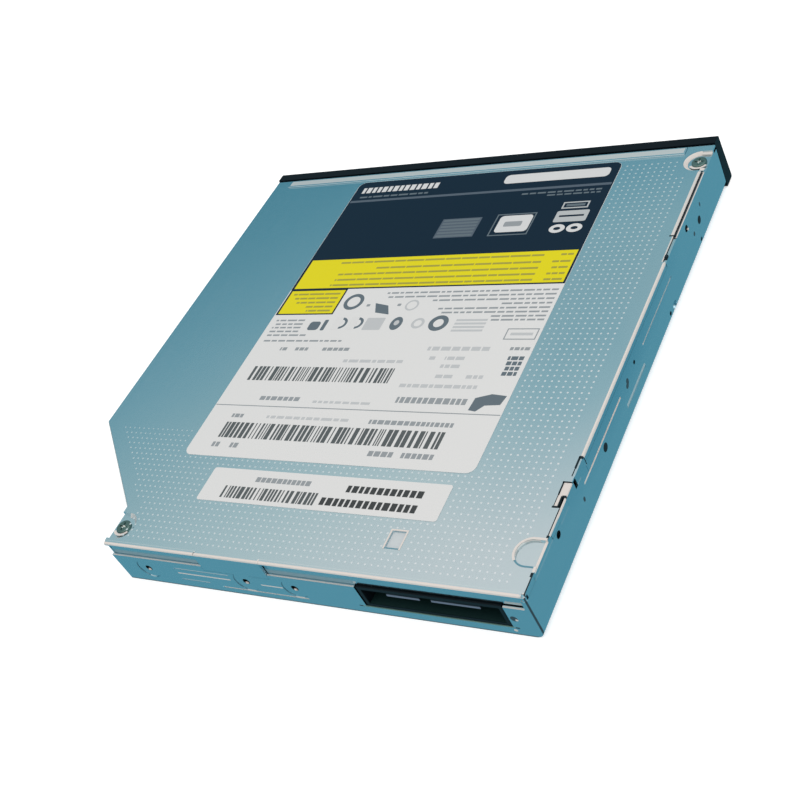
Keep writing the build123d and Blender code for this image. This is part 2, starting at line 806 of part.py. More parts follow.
def disc_tray():
    tray = tray_floor() + tray_rim() + deep_box()
    front_wall_x = (deep_right_x, right_x - wing_lip - moving_gap)
    tray += block(front_wall_x, (tray_front_y, tray_front_y + tray_wall),
                  (pan_wall_top + moving_gap, floor_under))
    tongue_x = (rail_groove_x(left_back_x, 1), deep_left_x)
    tray += block(tongue_x, (rail_front_y, left_rail_rear_y), around(left_rail_z, tongue_thickness / 2))
    tray += block((deep_left_x, deep_left_x + tray_wall), (deep_rear_y, left_rail_rear_y),
                  (left_rail_z - tongue_thickness / 2, floor_under))
    tray -= turned(slab(opening_outline(0), (floor_under, rim_top)))
    tray -= turned(slab(opening_outline(ledge), (floor_top - 2 * mechanism_cover_sheet, rim_top)))
    for u, v in ears:
        x, y = turned_point(u, v)
        tray += disc(x, y, post_radius, (ear_z[0] - damper_lip, floor_under))
        tray += disc(x, y, 2 * post_radius, (ear_z[1] + damper_lip + seam, floor_under))
        tray -= disc(x, y, damper_screw_shank + thread_gap, (deep_bottom, floor_under))
    x, y = latch_pivot
    tray += disc(x, y, latch_pivot_radius - seam, (latch_z[0] - base_sheet, floor_under))
    for y in pusher_lug_y:
        lug = block(around(pusher_x, pusher_lug_half), around(y, pusher_lug / 2),
                    (pusher_z - pusher_collar_radius, floor_under))
        tray += lug - bar_y(pusher_x, pusher_z, pusher_radius + running_gap,
                            around(y, pusher_lug / 2))
    for x in yoke_x:
        tray += block(around(x, yoke_leg / 4), (yoke_y[0], yoke_y[0] + yoke_leg),
                      (yoke_z[1], floor_under))
    for y in (tray_board_y[0] + post_radius, tray_board_y[1] - post_radius):
        tray += block(around(sum(ribbon_x) / 2, post_radius), around(y, post_radius),
                      (tray_board_z + board_thickness, floor_under))
    wall_y = (tray_front_y, tray_front_y + tray_wall)
    tray -= block(around(button_x, stem_size[0] / 2 + button_gap), wall_y,
                  around(button_z, stem_size[1] / 2 + button_gap))
    tray -= bar_y(lamp_x, lamp_z, lamp_radius + button_gap, wall_y)
    tray -= bar_y(latch_tail_x, pinhole_z, pinhole_radius + running_gap, wall_y)
    for x in clip_x:
        tray -= block(around(x, clip_width / 2 + running_gap),
                      (tray_front_y, tray_front_y + clip_reach + running_gap),
                      (clip_z[0] - running_gap, clip_z[1] + running_gap))
    return tray


def tray_bottom_plate():
    """The thin sheet that closes the deep box, notched for the ribbon and the lock post."""
    gap = running_gap
    plate = block((deep_left_x + gap, deep_right_x - gap), (tray_front_y + tray_wall, deep_rear_y - gap),
                  (deep_bottom - bottom_sheet, deep_bottom))
    plate -= block(ribbon_lane_x, (ribbon_bend_y - socket_depth, deep_rear_y), (0, deep_bottom))
    return plate


def front_bezel():
    top = body_height
    profile = [(bezel_back_y, bezel_bottom), (bezel_back_y, top),
               (bezel_back_y - bezel_top_depth, top), (bezel_back_y - bezel_bottom_depth, bezel_bottom)]
    face = make_face(Plane.YZ * Polyline(*profile, close=True))
    bezel = Pos(left_x, 0, 0) * extrude(face, body_width, dir=(1, 0, 0))
    outer = bezel.edges().filter_by(Axis.X).sort_by(Axis.Y)[:2]
    bezel = fillet(outer, bezel_round)
    cut_y = (bezel_back_y - bezel_bottom_depth, bezel_back_y)
    width, height = button_size
    bezel -= block(around(button_x, width / 2 + button_gap), cut_y,
                   around(button_z, height / 2 + button_gap))
    flange_y = (bezel_back_y - button_flange - button_travel, bezel_back_y)
    bezel -= block(around(button_x, width / 2 + button_flange), flange_y,
                   around(button_z, height / 2 + button_flange))
    bezel -= bar_y(lamp_x, lamp_z, lamp_radius + seam, cut_y)
    bezel -= bar_y(latch_tail_x, pinhole_z, pinhole_radius, cut_y)
    for x in clip_x:
        bezel += block(around(x, clip_width / 2), (bezel_back_y, bezel_back_y + clip_reach), clip_z)
    return bezel


def bezel_face_y(z):
    """The y of the bezel's leaning front at a given height."""
    share = (body_height - z) / (body_height - bezel_bottom)
    return bezel_back_y - bezel_top_depth - share * (bezel_bottom_depth - bezel_top_depth)


def eject_button():
    width, height = button_size
    face_y = bezel_face_y(button_z + height / 2)
    back = bezel_back_y - button_travel - running_gap
    button = block(around(button_x, width / 2), (face_y, back), around(button_z, height / 2))
    button = fillet(button.edges().group_by(Axis.Y)[0], running_gap * 2)
    edge = button_flange - button_gap
    button += block(around(button_x, width / 2 + edge),
                    (bezel_back_y - button_flange - button_travel + running_gap, back),
                    around(button_z, height / 2 + edge))
    stem_end = button_board_y[0] - button_travel - running_gap
    button += block(around(button_x, stem_size[0] / 2), (bezel_back_y - button_flange, stem_end),
                    around(button_z, stem_size[1] / 2))
    return button


def indicator_lens():
    face_y = bezel_face_y(lamp_z)
    return bar_y(lamp_x, lamp_z, lamp_radius, (face_y, button_board_y[0] - running_gap))


def button_board():
    return block(button_board_x, button_board_y, (button_board_z, button_board_z + board_thickness))


def eject_switch():
    width, length, height = switch_size
    middle_z = button_board_z - height / 2
    front = button_board_y[0] + plunger_length
    body = block(around(button_x, width / 2), (front, front + length), around(middle_z, height / 2))
    return body + bar_y(button_x, button_z, plunger_radius, (button_board_y[0], front))


def arc_point(radius, degrees):
    """A point about the latch pivot, at an angle from -Y turning to +X."""
    x, y = latch_pivot
    angle = math.radians(degrees)
    return x + radius * math.sin(angle), y - radius * math.cos(angle)


def latch_lever():
    """A flat lever: a hook behind the lock post, and a tail with the release arm."""
    px, py = latch_pivot
    reach = math.hypot(lock_post[0] - px, lock_post[1] - py) - lock_post_radius - latch_hook_gap
    post_angle = math.degrees(math.asin((lock_post[0] - px) / reach))
    tip = post_angle + math.degrees(lock_post_radius / reach) / 2
    root = -math.degrees(latch_arm / reach)
    back = reach - latch_arm
    middle = (tip + root) / 2
    hook = make_face(Wire([
        ThreePointArc(arc_point(reach, root), arc_point(reach, middle), arc_point(reach, tip)).edge(),
        Line(arc_point(reach, tip), arc_point(back, tip)).edge(),
        ThreePointArc(arc_point(back, tip), arc_point(back, middle), arc_point(back, root)).edge(),
        Line(arc_point(back, root), arc_point(reach, root)).edge(),
    ]))
    lever = slab(hook, latch_z)
    lever += slab([(px - latch_arm, py), arc_point(reach - running_gap, root),
                   arc_point(reach - running_gap, 0), (px, py)], latch_z)
    lever += disc(px, py, latch_pivot_radius + latch_arm / 2, latch_z)
    tail_y = py + latch_arm / 2
    tail_low = py - latch_arm / 2
    lever += block((latch_tail_x, px), (tail_low, tail_y), latch_z)
    arm_front = tray_front_y + tray_wall + 4 * moving_gap
    lever += block(around(latch_tail_x, latch_arm / 2), (arm_front, tail_y), latch_z)
    lever -= disc(px, py, latch_pivot_radius, latch_z)
    return lever


def latch_armature():
    """The steel bar that the coils hold, clipped under the lever's tail."""
    front = yoke_y[1] + running_gap
    return block(yoke_x, (front, front + armature_thickness), (latch_z[1], yoke_z[1])) + block(
        yoke_x, (front, latch_pivot[1] + latch_arm / 2), (latch_z[1], latch_z[1] + bottom_sheet))


def latch_yoke():
    low, high = yoke_y
    body = block((yoke_x[0], yoke_x[0] + yoke_leg), (low, high), yoke_z)
    body += block((yoke_x[1] - yoke_leg, yoke_x[1]), (low, high), yoke_z)
    return body + block(yoke_x, (low, low + yoke_leg), yoke_z)


def latch_coils():
    wound_y = (yoke_y[0] + yoke_leg + coil_gap, yoke_y[1] - coil_ends)
    coils = []
    for x in (yoke_x[0] + yoke_leg / 2, yoke_x[1] - yoke_leg / 2):
        middle_z = sum(yoke_z) / 2
        half_z = (yoke_z[1] - yoke_z[0]) / 2
        middle_y = sum(wound_y) / 2
        outer = Box(yoke_leg + 2 * coil_growth, wound_y[1] - wound_y[0], 2 * half_z + coil_growth)
        outer = fillet(outer.edges().filter_by(Axis.Y), coil_growth / 2)
        core = Box(yoke_leg + 2 * coil_gap, wound_y[1] - wound_y[0], 2 * half_z + 2 * coil_gap)
        coils.append(Pos(x, middle_y, middle_z) * (outer - core))
    return joined(coils)


def coil_wire(radius, wire, turns, length):
    """A closed helix of round wire about Z, from its base up."""
    path = Helix(length / turns, length, radius)
    section = Plane(origin=path @ 0, z_dir=path % 0) * Circle(wire / 2)
    return sweep(section, path=path)


def latch_spring():
    px, py = latch_pivot
    low = latch_z[1] + armature_thickness
    coil = coil_wire(latch_pivot_radius + 2 * spring_wire, spring_wire, spring_turns,
                     spring_turns * 2 * spring_wire)
    return Pos(px, py, low) * coil


def pusher_rod():
    rear_end = rear_y - base_sheet - dish_depth - running_gap
    body = bar_y(pusher_x, pusher_z, pusher_radius, (pusher_front_y, rear_end))
    return body + bar_y(pusher_x, pusher_z, pusher_collar_radius,
                        (pusher_collar_y - pusher_radius, pusher_collar_y))


def pusher_spring():
    start = pusher_lug_y[0] + pusher_lug / 2 + moving_gap
    end = pusher_collar_y - pusher_radius - pusher_give - moving_gap
    coil = coil_wire(pusher_spring_radius, pusher_spring_wire, pusher_spring_turns, end - start)
    return Pos(pusher_x, start, pusher_z) * Rot(-90, 0, 0) * coil


def frame_outline():
    half = frame_u
    back, front = frame_v
    corner = frame_chamfer
    return [(-half, -back), (half, -back), (half, -front + corner), (half - corner, -front),
            (corner - half, -front), (-half, -front + corner)]


def mechanism_frame():
    """The moulded frame: a bay for the pickup, saddles for the rods and three ears."""
    frame = slab(frame_outline(), frame_z)
    bay = block(around(0, pickup_bay_u), (-pickup_bay_v[1], -pickup_bay_v[0]), frame_z)
    bay = chamfer(bay.edges().filter_by(Axis.Z).group_by(Axis.Y)[0], frame_bay_chamfer)
    frame -= bay
    frame -= disc(0, 0, rotor_radius + 2 * moving_gap, frame_z)
    for u, v in ears:
        reach = abs(u) - frame_u
        side = math.copysign(1, u)
        ear = disc(u, -v, ear_radius, ear_z)
        ear += block(sorted((side * (frame_u - frame_rail / 2), u)),
                     around(-v, ear_radius - reach / 4), ear_z)
        frame += ear - disc(u, -v, damper_waist + running_gap, ear_z)
    for u in rod_u:
        frame -= bar_y(u, rod_z, rod_radius + rod_fit, (-pickup_bay_v[1] - frame_rail / 2,
                                                        -pickup_bay_v[0] + frame_rail / 2))
    frame -= block((pickup_bay_u - moving_gap, frame_u + moving_gap), (-screw_v[1], -screw_v[0]),
                   (frame_low_rail_z, frame_z[1]))
    return turned(frame)


def frame_dampers():
    grommets = []
    for u, v in ears:
        x, y = turned_point(u, v)
        low, high = ear_z
        body = disc(x, y, damper_waist, ear_z)
        body += disc(x, y, damper_radius, (low - damper_lip, low))
        body += disc(x, y, damper_radius, (high, high + damper_lip))
        grommets.append(body - disc(x, y, post_radius + seam, (low - damper_lip, high + damper_lip)))
    return joined(grommets)


def damper_screws():
    """Screws driven from below into the tray's posts, heads under the dampers."""
    seat = ear_z[0] - damper_lip
    screws = []
    for u, v in ears:
        x, y = turned_point(u, v)
        upright = screw(0, 0, 0, damper_screw_head, damper_screw_head_height,
                        damper_screw_shank, damper_screw_length)
        screws.append(Pos(x, y, seat) * Rot(180, 0, 0) * upright)
    return joined(screws)


def mechanism_cover():
    """The black sheet over the mechanism, open at the turntable and the lens."""
    low = floor_top - 2 * mechanism_cover_sheet
    sheet = slab(opening_outline(ledge - running_gap), (low, low + mechanism_cover_sheet))
    sheet -= disc(0, 0, rotor_radius + 2 * moving_gap, (low, floor_top))
    sheet -= block(around(0, lens_slot_u), (-lens_slot_v[1], 0), (low, floor_top))
    return turned(sheet)


def motor_base():
    plate = disc(0, 0, motor_plate_radius, motor_plate_z)
    plate += block(around(0, frame_u - frame_rail), (motor_plate_radius / 3, motor_plate_radius),
                   motor_plate_z)
    return turned(plate)


def spindle_bearing():
    low = motor_plate_z[1]
    return disc(0, 0, bearing_radius, (low, bearing_top)) - disc(
        0, 0, shaft_radius + seam, (low, bearing_top))


def motor_stator():
    """A laminated ring with teeth, each wound with copper."""
    core_z = (motor_plate_z[1], stator_z[1])
    ring = disc(0, 0, stator_core, core_z)
    for index in range(stator_teeth):
        tooth = block((bearing_radius, stator_radius), around(0, tooth_half_width), stator_z)
        shoe = disc(0, 0, stator_radius + shoe_depth, stator_z)
        shoe -= disc(0, 0, stator_radius, stator_z)
        shoe &= block((0, stator_radius * 2), around(0, shoe_half_width), stator_z)
        ring += Rot(0, 0, index * 360 / stator_teeth) * (tooth + shoe)
    return ring - disc(0, 0, bearing_radius + seam, core_z)


def spindle_rotor():
    cup = disc(0, 0, rotor_radius, (rotor_bottom, rotor_top))
    cup -= disc(0, 0, rotor_radius - rotor_wall, (rotor_bottom, rotor_top - rotor_roof))
    cup = fillet(cup.edges().group_by(Axis.Z)[-1], moving_gap)
    return cup - disc(0, 0, shaft_radius, (rotor_bottom, rotor_top))


def spindle_shaft():
    return disc(0, 0, shaft_radius, (motor_plate_z[1] + running_gap, rotor_top))


def friction_ring():
    ring = disc(0, 0, rotor_radius - moving_gap, (rotor_top, disc_seat_z))
    return ring - disc(0, 0, rotor_radius - moving_gap - ring_width, (rotor_top, disc_seat_z))


def claw_slot(clearance):
    depth = claw_depth + claw_travel + clearance
    return block((hub_radius - depth, hub_radius + claw_reach), around(0, claw_width / 2 + clearance),
                 (claw_z[0] - clearance, claw_z[1] + clearance))


def disc_hub():
    """The centring hub, with a pocket for each sprung claw."""
    hub = disc(0, 0, hub_radius, (rotor_top, hub_top))
    hub = fillet(hub.edges().group_by(Axis.Z)[-1], hub_dome / 2)
    for index in range(claw_count):
        hub -= Rot(0, 0, index * 360 / claw_count) * claw_slot(running_gap)
    return hub


def hub_claw(index):
    tip = hub_radius + claw_reach
    claw = block((hub_radius - claw_depth, tip), around(0, claw_width / 2), claw_z)
    claw = chamfer(claw.edges().group_by(Axis.X)[-1], running_gap * 2)
    return Rot(0, 0, index * 360 / claw_count) * claw


def guide_rod(u):
    ends = (-pickup_bay_v[1] - frame_rail / 2 + seam, -pickup_bay_v[0] + frame_rail / 2 - seam)
    return turned(bar_y(u, rod_z, rod_radius, ends))


def pickup_body():
    """The casting that carries the lens, with lugs on both rods."""
    low, high = -lens_inner - pickup_front, -lens_inner + pickup_back
    body = block(around(0, pickup_half_width), (low, high), pickup_z)
    body = chamfer(body.edges().filter_by(Axis.Z), moving_gap * 3)
    for u in rod_u:
        side = math.copysign(1, u)
        outer = u + side * lug_outer
        lug_z = (pickup_z[0], rod_z + lug_outer)
        body += block(sorted((side * (pickup_half_width - running_gap), outer)),
                      (low + lug_inset, high - lug_inset), lug_z)
        body -= bar_y(u, rod_z, rod_radius + rod_fit, (low, high))
    pocket = block(around(0, lens_pocket), around(-lens_inner, lens_pocket - moving_gap),
                   (lens_pocket_floor, pickup_z[1]))
    return turned(body - pocket)


def pickup_cover():
    low, high = -lens_inner - pickup_front, -lens_inner + pickup_back
    z_span = (pickup_z[1], pickup_z[1] + pickup_cover_sheet)
    half = pickup_half_width - pickup_cover_sheet
    sheet = block(around(0, half), (low + pickup_cover_sheet, high - pickup_cover_sheet), z_span)
    return turned(sheet - disc(0, -lens_inner, lens_pocket - moving_gap, z_span))


def lens_holder():
    body = block(around(0, holder_half - moving_gap), around(-lens_inner, holder_half - 2 * moving_gap),
                 holder_z)
    body = chamfer(body.edges().filter_by(Axis.Z), moving_gap * 4)
    return turned(body - disc(0, -lens_inner, lens_radius + seam, (holder_z[1] - lens_rise, holder_z[1])))


def objective_lens():
    low = holder_z[1] - lens_rise
    dome = disc(0, -lens_inner, lens_radius, (low, holder_z[1] + lens_rise / 2))
    return turned(fillet(dome.edges().group_by(Axis.Z)[-1], lens_rise / 2))


def feed_nut():
    """The toothed arm that rides in the lead screw's thread."""
    start = rod_u[1] + lug_outer
    arm = block((start, screw_u - screw_radius - nut_gap), around(-nut_v, nut_width / 2), nut_z)
    return turned(arm)


def lead_screw():
    """A shaft with a raised thread, drawn as evenly spaced collars for its turns."""
    start, end = screw_v
    shaft = bar_y(screw_u, rod_z, screw_core, (-end, -motor_v[1]))
    turns = int((end - start) / screw_pitch)
    for index in range(turns):
        v = start + (index + 0.5) * screw_pitch
        shaft += bar_y(screw_u, rod_z, screw_radius, around(-v, screw_pitch / 6))
    return turned(shaft)


def feed_motor():
    can = bar_y(screw_u, rod_z, motor_radius, (-motor_v[1] + bracket_sheet, -motor_v[0]))
    return turned(can - bar_y(screw_u, rod_z, screw_core + running_gap,
                              (-motor_v[1], -motor_v[1] + 2 * bracket_sheet)))


def feed_bracket():
    """A bent strip with an ear at the motor's face and one at the screw's far end."""
    strip_z = (deep_bottom + running_gap, deep_bottom + running_gap + bracket_sheet)
    ear_top = rod_z + bracket_half
    u_span = around(screw_u, bracket_half)
    far_v = screw_v[1]
    body = block(u_span, (-far_v - bracket_sheet, -motor_v[1] + bracket_sheet), strip_z)
    for low in (-far_v - bracket_sheet, -motor_v[1]):
        body += block(u_span, (low, low + bracket_sheet), (strip_z[0], ear_top))
    body -= bar_y(screw_u, rod_z, screw_core + running_gap, (-far_v, -motor_v[0]))
    for v in bracket_tabs_v:
        body += block((frame_u - frame_rail, screw_u), around(-v, bracket_tab / 2),
                      (strip_z[0], frame_z[0]))
    return turned(body)


def ribbon_cable():
    """The flat cable, folded under the tray: low run, bend, high run and riser."""
    half = ribbon_thickness / 2
    bend_z = (ribbon_low_z + ribbon_high_z) / 2
    radius = (ribbon_high_z - ribbon_low_z) / 2
    socket_z = board_z + board_thickness + socket_height / 2
    start_y = socket_front_y() + ribbon_entry
    slope_y = main_board_y[0] - 2 * board_thickness
    lower = [(start_y, socket_z), (main_board_y[0] - moving_gap, socket_z),
             (slope_y, ribbon_low_z), (ribbon_bend_y, ribbon_low_z)]
    riser_y = sum(tray_board_y) / 2
    upper = [(ribbon_bend_y, ribbon_high_z), (riser_y, ribbon_high_z),
             (riser_y, tray_board_z - socket_height + ribbon_entry)]
    width = ribbon_x[1] - ribbon_x[0]
    pieces = []
    for run in (lower, upper):
        for start, end in zip(run, run[1:]):
            pieces.append(strip_between(start, end, half, width))
    ring = Circle(radius + half) - Circle(radius - half)
    ring &= Pos(-radius, 0) * Rectangle(2 * radius, 4 * radius)
    bend = extrude(Plane.YZ * ring, width, dir=(1, 0, 0))
    pieces.append(Pos(ribbon_x[0], ribbon_bend_y, bend_z) * bend)
    return joined(pieces)


def strip_between(start, end, half, width):
    """A flat strip between two points of the side view, rounded past its ends."""
    (y0, z0), (y1, z1) = start, end
    length = math.hypot(y1 - y0, z1 - z0)
    angle = math.degrees(math.atan2(z1 - z0, y1 - y0))
    strip = Box(width, length + half, 2 * half)
    return Pos(sum(ribbon_x) / 2, (y0 + y1) / 2, (z0 + z1) / 2) * Rot(angle, 0, 0) * strip


def socket_front_y():
    return main_board_y[0] + 3 * board_thickness


def ribbon_slot(y_span, z):
    return block((ribbon_x[0] - seam, ribbon_x[1] + seam), y_span,
                 around(z, ribbon_thickness / 2 + seam))


def board_socket():
    low = board_z + board_thickness
    front = socket_front_y()
    body = block((ribbon_x[0] - board_thickness, ribbon_x[1] + board_thickness),
                 (front, front + socket_depth), (low, low + socket_height))
    return body - ribbon_slot((front, front + ribbon_entry + seam * 2), low + socket_height / 2)


def tray_socket():
    middle_y = sum(tray_board_y) / 2
    low = tray_board_z - socket_height
    body = block((ribbon_x[0] - board_thickness, ribbon_x[1] + board_thickness),
                 around(middle_y, socket_depth / 2), (low, tray_board_z))
    return body - block((ribbon_x[0] - seam, ribbon_x[1] + seam),
                        around(middle_y, ribbon_thickness / 2 + seam),
                        (low, low + ribbon_entry + 2 * seam))


def tray_board():
    return block((ribbon_x[0] - board_thickness, ribbon_x[1] + board_thickness), tray_board_y,
                 (tray_board_z, tray_board_z + board_thickness))


def lock_post_piece():
    x, y = lock_post
    flange = disc(x, y, lock_flange_radius, (base_sheet, base_sheet + lock_flange_height))
    post = disc(x, y, lock_post_radius, (base_sheet, lock_post_top))
    return flange + fillet(post.edges().group_by(Axis.Z)[-1], lock_flange_height)


pieces = {
    "base_shell": base_shell,
    "top_cover": top_cover,
    "product_label": product_label,
    "small_label": small_label,
    "cover_screws": cover_screws,
    "main_board": main_board,
    "board_screws": board_screws,
    "drive_connector": sata_connector,
    "connector_contacts": connector_contacts,
    "controller_chip": lambda: chip(controller),
    "driver_chip": lambda: chip(driver),
    "memory_chip": lambda: chip(memory),
    "board_capacitors": board_capacitors,
    "board_socket": board_socket,
    "ribbon_cable": ribbon_cable,
    "left_guide": left_guide,
    "right_guide": right_guide,
    "lock_post": lock_post_piece,
    "left_rail": left_rail,
    "right_rail": right_rail,
    "disc_tray": disc_tray,
    "tray_bottom_plate": tray_bottom_plate,
    "front_bezel": front_bezel,
    "eject_button": eject_button,
    "indicator_lens": indicator_lens,
    "button_board": button_board,
    "eject_switch": eject_switch,
    "latch_lever": latch_lever,
    "latch_armature": latch_armature,
    "latch_yoke": latch_yoke,
    "latch_coils": latch_coils,
    "latch_spring": latch_spring,
    "pusher_rod": pusher_rod,
    "pusher_spring": pusher_spring,
    "mechanism_frame": mechanism_frame,
    "frame_dampers": frame_dampers,
    "damper_screws": damper_screws,
    "mechanism_cover": mechanism_cover,
    "motor_base": motor_base,
    "motor_stator": motor_stator,
    "spindle_bearing": spindle_bearing,
    "spindle_shaft": spindle_shaft,
    "spindle_rotor": spindle_rotor,
    "friction_ring": friction_ring,
    "disc_hub": disc_hub,
    "hub_claw_1": lambda: hub_claw(0),
    "hub_claw_2": lambda: hub_claw(1),
    "hub_claw_3": lambda: hub_claw(2),
    "left_guide_rod": lambda: guide_rod(rod_u[0]),
    "right_guide_rod": lambda: guide_rod(rod_u[1]),
    "pickup_body": pickup_body,
    "pickup_cover": pickup_cover,
    "lens_holder": lens_holder,
    "objective_lens": objective_lens,
    "feed_nut": feed_nut,
    "lead_screw": lead_screw,
    "feed_motor": feed_motor,
    "feed_bracket": feed_bracket,
    "tray_board": tray_board,
    "tray_socket": tray_socket,
}

os.makedirs("parts", exist_ok=True)
for name, build in pieces.items():
    export_step(build(), f"parts/{name}.step")
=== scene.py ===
import json
import math
import random

import bmesh
import bpy
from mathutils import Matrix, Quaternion, Vector


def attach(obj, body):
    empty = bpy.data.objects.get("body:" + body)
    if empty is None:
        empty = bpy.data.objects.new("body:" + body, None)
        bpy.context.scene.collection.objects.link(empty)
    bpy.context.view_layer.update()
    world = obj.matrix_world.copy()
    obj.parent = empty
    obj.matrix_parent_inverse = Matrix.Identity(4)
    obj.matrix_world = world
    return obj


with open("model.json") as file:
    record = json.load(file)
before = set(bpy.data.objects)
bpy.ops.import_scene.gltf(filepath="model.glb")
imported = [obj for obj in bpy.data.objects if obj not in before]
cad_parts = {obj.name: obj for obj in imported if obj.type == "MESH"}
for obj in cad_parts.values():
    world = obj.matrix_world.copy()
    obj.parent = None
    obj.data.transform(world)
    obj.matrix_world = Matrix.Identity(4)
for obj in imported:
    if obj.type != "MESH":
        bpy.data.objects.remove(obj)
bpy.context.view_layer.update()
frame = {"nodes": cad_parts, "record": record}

mm = 0.001
# How deep small forms reach into the sheet, in millimetres
sunk = 0.02

# Camera, fitted to the photo
camera = {
    "place": (-0.16770, 0.16778, 0.17804),
    "ahead": (0.55480, -0.56334, -0.61224),
    "down": (-0.02321, 0.72512, -0.68824),
    "lens": 57.17,
    "sensor": 36.0,
    "shift": (-0.0109, -0.0126),
    "clip": (0.01, 20),
}


def placeCamera():
    data = bpy.data.cameras.new("photoCamera")
    data.lens = camera["lens"]
    data.sensor_width = camera["sensor"]
    data.shift_x, data.shift_y = camera["shift"]
    data.clip_start, data.clip_end = camera["clip"]
    holder = bpy.data.objects.new("photoCamera", data)
    bpy.context.scene.collection.objects.link(holder)
    ahead = Vector(camera["ahead"]).normalized()
    up = -Vector(camera["down"])
    aim = ahead.to_track_quat("-Z", "Y")
    level = aim @ Vector((0, 1, 0))
    side = aim @ Vector((1, 0, 0))
    roll = math.atan2(-up.dot(side), up.dot(level))
    holder.rotation_mode = "QUATERNION"
    holder.rotation_quaternion = aim @ Quaternion((0, 0, 1), roll)
    holder.location = camera["place"]
    bpy.context.scene.camera = holder


placeCamera()
print("camera placed")


class Wire:
    # A shader socket that can stand in a sum or a comparison
    def __init__(self, finish, socket):
        self.finish = finish
        self.socket = socket

    def work(self, operation, first, second):
        return self.finish.node("Math", {"operation": operation}, {0: first, 1: second})

    def __add__(self, other):
        return self.work("ADD", self, other)

    def __sub__(self, other):
        return self.work("SUBTRACT", self, other)

    def __rsub__(self, other):
        return self.work("SUBTRACT", other, self)

    def __mul__(self, other):
        return self.work("MULTIPLY", self, other)

    def __truediv__(self, other):
        return self.work("DIVIDE", self, other)

    def __gt__(self, other):
        return self.work("GREATER_THAN", self, other)

    def __lt__(self, other):
        return self.work("LESS_THAN", self, other)

    __radd__ = __add__
    __rmul__ = __mul__


class Finish:
    # A node tree, and the short ways to fill it
    def __init__(self, holder):
        holder.use_nodes = True
        self.tree = holder.node_tree

    def node(self, kind, settings=None, values=None, out=0):
        made = self.tree.nodes.new("ShaderNode" + kind)
        for key, value in (settings or {}).items():
            if key == "stops":
                self.setStops(made.color_ramp, value)
            else:
                setattr(made, key, value)
        self.feed(made, values or {})
        return Wire(self, made.outputs[out])

    def feed(self, node, values):
        for key, value in values.items():
            if isinstance(value, Wire):
                self.tree.links.new(value.socket, node.inputs[key])
            else:
                node.inputs[key].default_value = self.fitted(node.inputs[key], value)

    def fitted(self, socket, value):
        if socket.type == "RGBA" and len(value) == 3:
            return (*value, 1)
        return value

    def setStops(self, ramp, stops):
        while len(ramp.elements) < len(stops):
            ramp.elements.new(1)
        for element, (place, colour) in zip(ramp.elements, stops):
            element.position = place
            element.color = (*colour, 1)

    def blend(self, share, first, second):
        return self.node("Mix", {"data_type": "RGBA"}, {0: share, 6: first, 7: second}, out=2)

    def place(self, stretch=(1, 1, 1)):
        return self.vector("MULTIPLY", self.node("TexCoord", out="Object"), stretch)

    def axis(self, name):
        return self.node("SeparateXYZ", values={0: self.place()}, out=name)

    def cloud(self, scale, detail=3.0, stretch=(1, 1, 1)):
        return self.node("TexNoise", values={"Vector": self.place(stretch), "Scale": scale,
                                             "Detail": detail})

    def stripes(self, axis, pitch, share):
        return self.node("Math", {"operation": "FRACT"}, {0: axis / pitch}) < share

    def within(self, box):
        # 1 inside a box given in millimetres as x0, x1, y0, y1, z0, z1
        middle = [(box[n] + box[n + 1]) / 2 * mm for n in (0, 2, 4)]
        half = [(box[n + 1] - box[n]) / 2 * mm for n in (0, 2, 4)]
        away = self.vector("SUBTRACT", self.place(), middle)
        over = self.vector("SUBTRACT", self.vector("ABSOLUTE", away), half)
        parts = [self.node("SeparateXYZ", values={0: over}, out=name) for name in "XYZ"]
        return self.most(self.most(parts[0], parts[1]), parts[2]) < 0

    def farness(self, centre, radii):
        # 0 in the middle of a rounded spot given in millimetres, 1 at its edge
        away = self.vector("SUBTRACT", self.place(), [c * mm for c in centre])
        scaled = self.vector("DIVIDE", away, [r * mm for r in radii])
        return self.node("VectorMath", {"operation": "LENGTH"}, {0: scaled}, out="Value")

    def near(self, centre, radii):
        return self.farness(centre, radii) < 1

    def vector(self, operation, first, second=(0, 0, 0)):
        return self.node("VectorMath", {"operation": operation}, {0: first, 1: second})

    def most(self, first, second):
        return self.node("Math", {"operation": "MAXIMUM"}, {0: first, 1: second})

    def anyOf(self, masks):
        found = masks[0]
        for mask in masks[1:]:
            found = self.most(found, mask)
        return found

    def relief(self, height, depth):
        return self.node("Bump", values={"Height": height, "Strength": 1.0, "Distance": depth})


def dress(finish, looks):
    finish.feed(finish.tree.nodes["Principled BSDF"], looks)


def toned(colour, share):
    return tuple(share * c for c in colour)


def newFinish(name, looks):
    material = bpy.data.materials.new(name)
    finish = Finish(material)
    dress(finish, looks)
    return finish, material


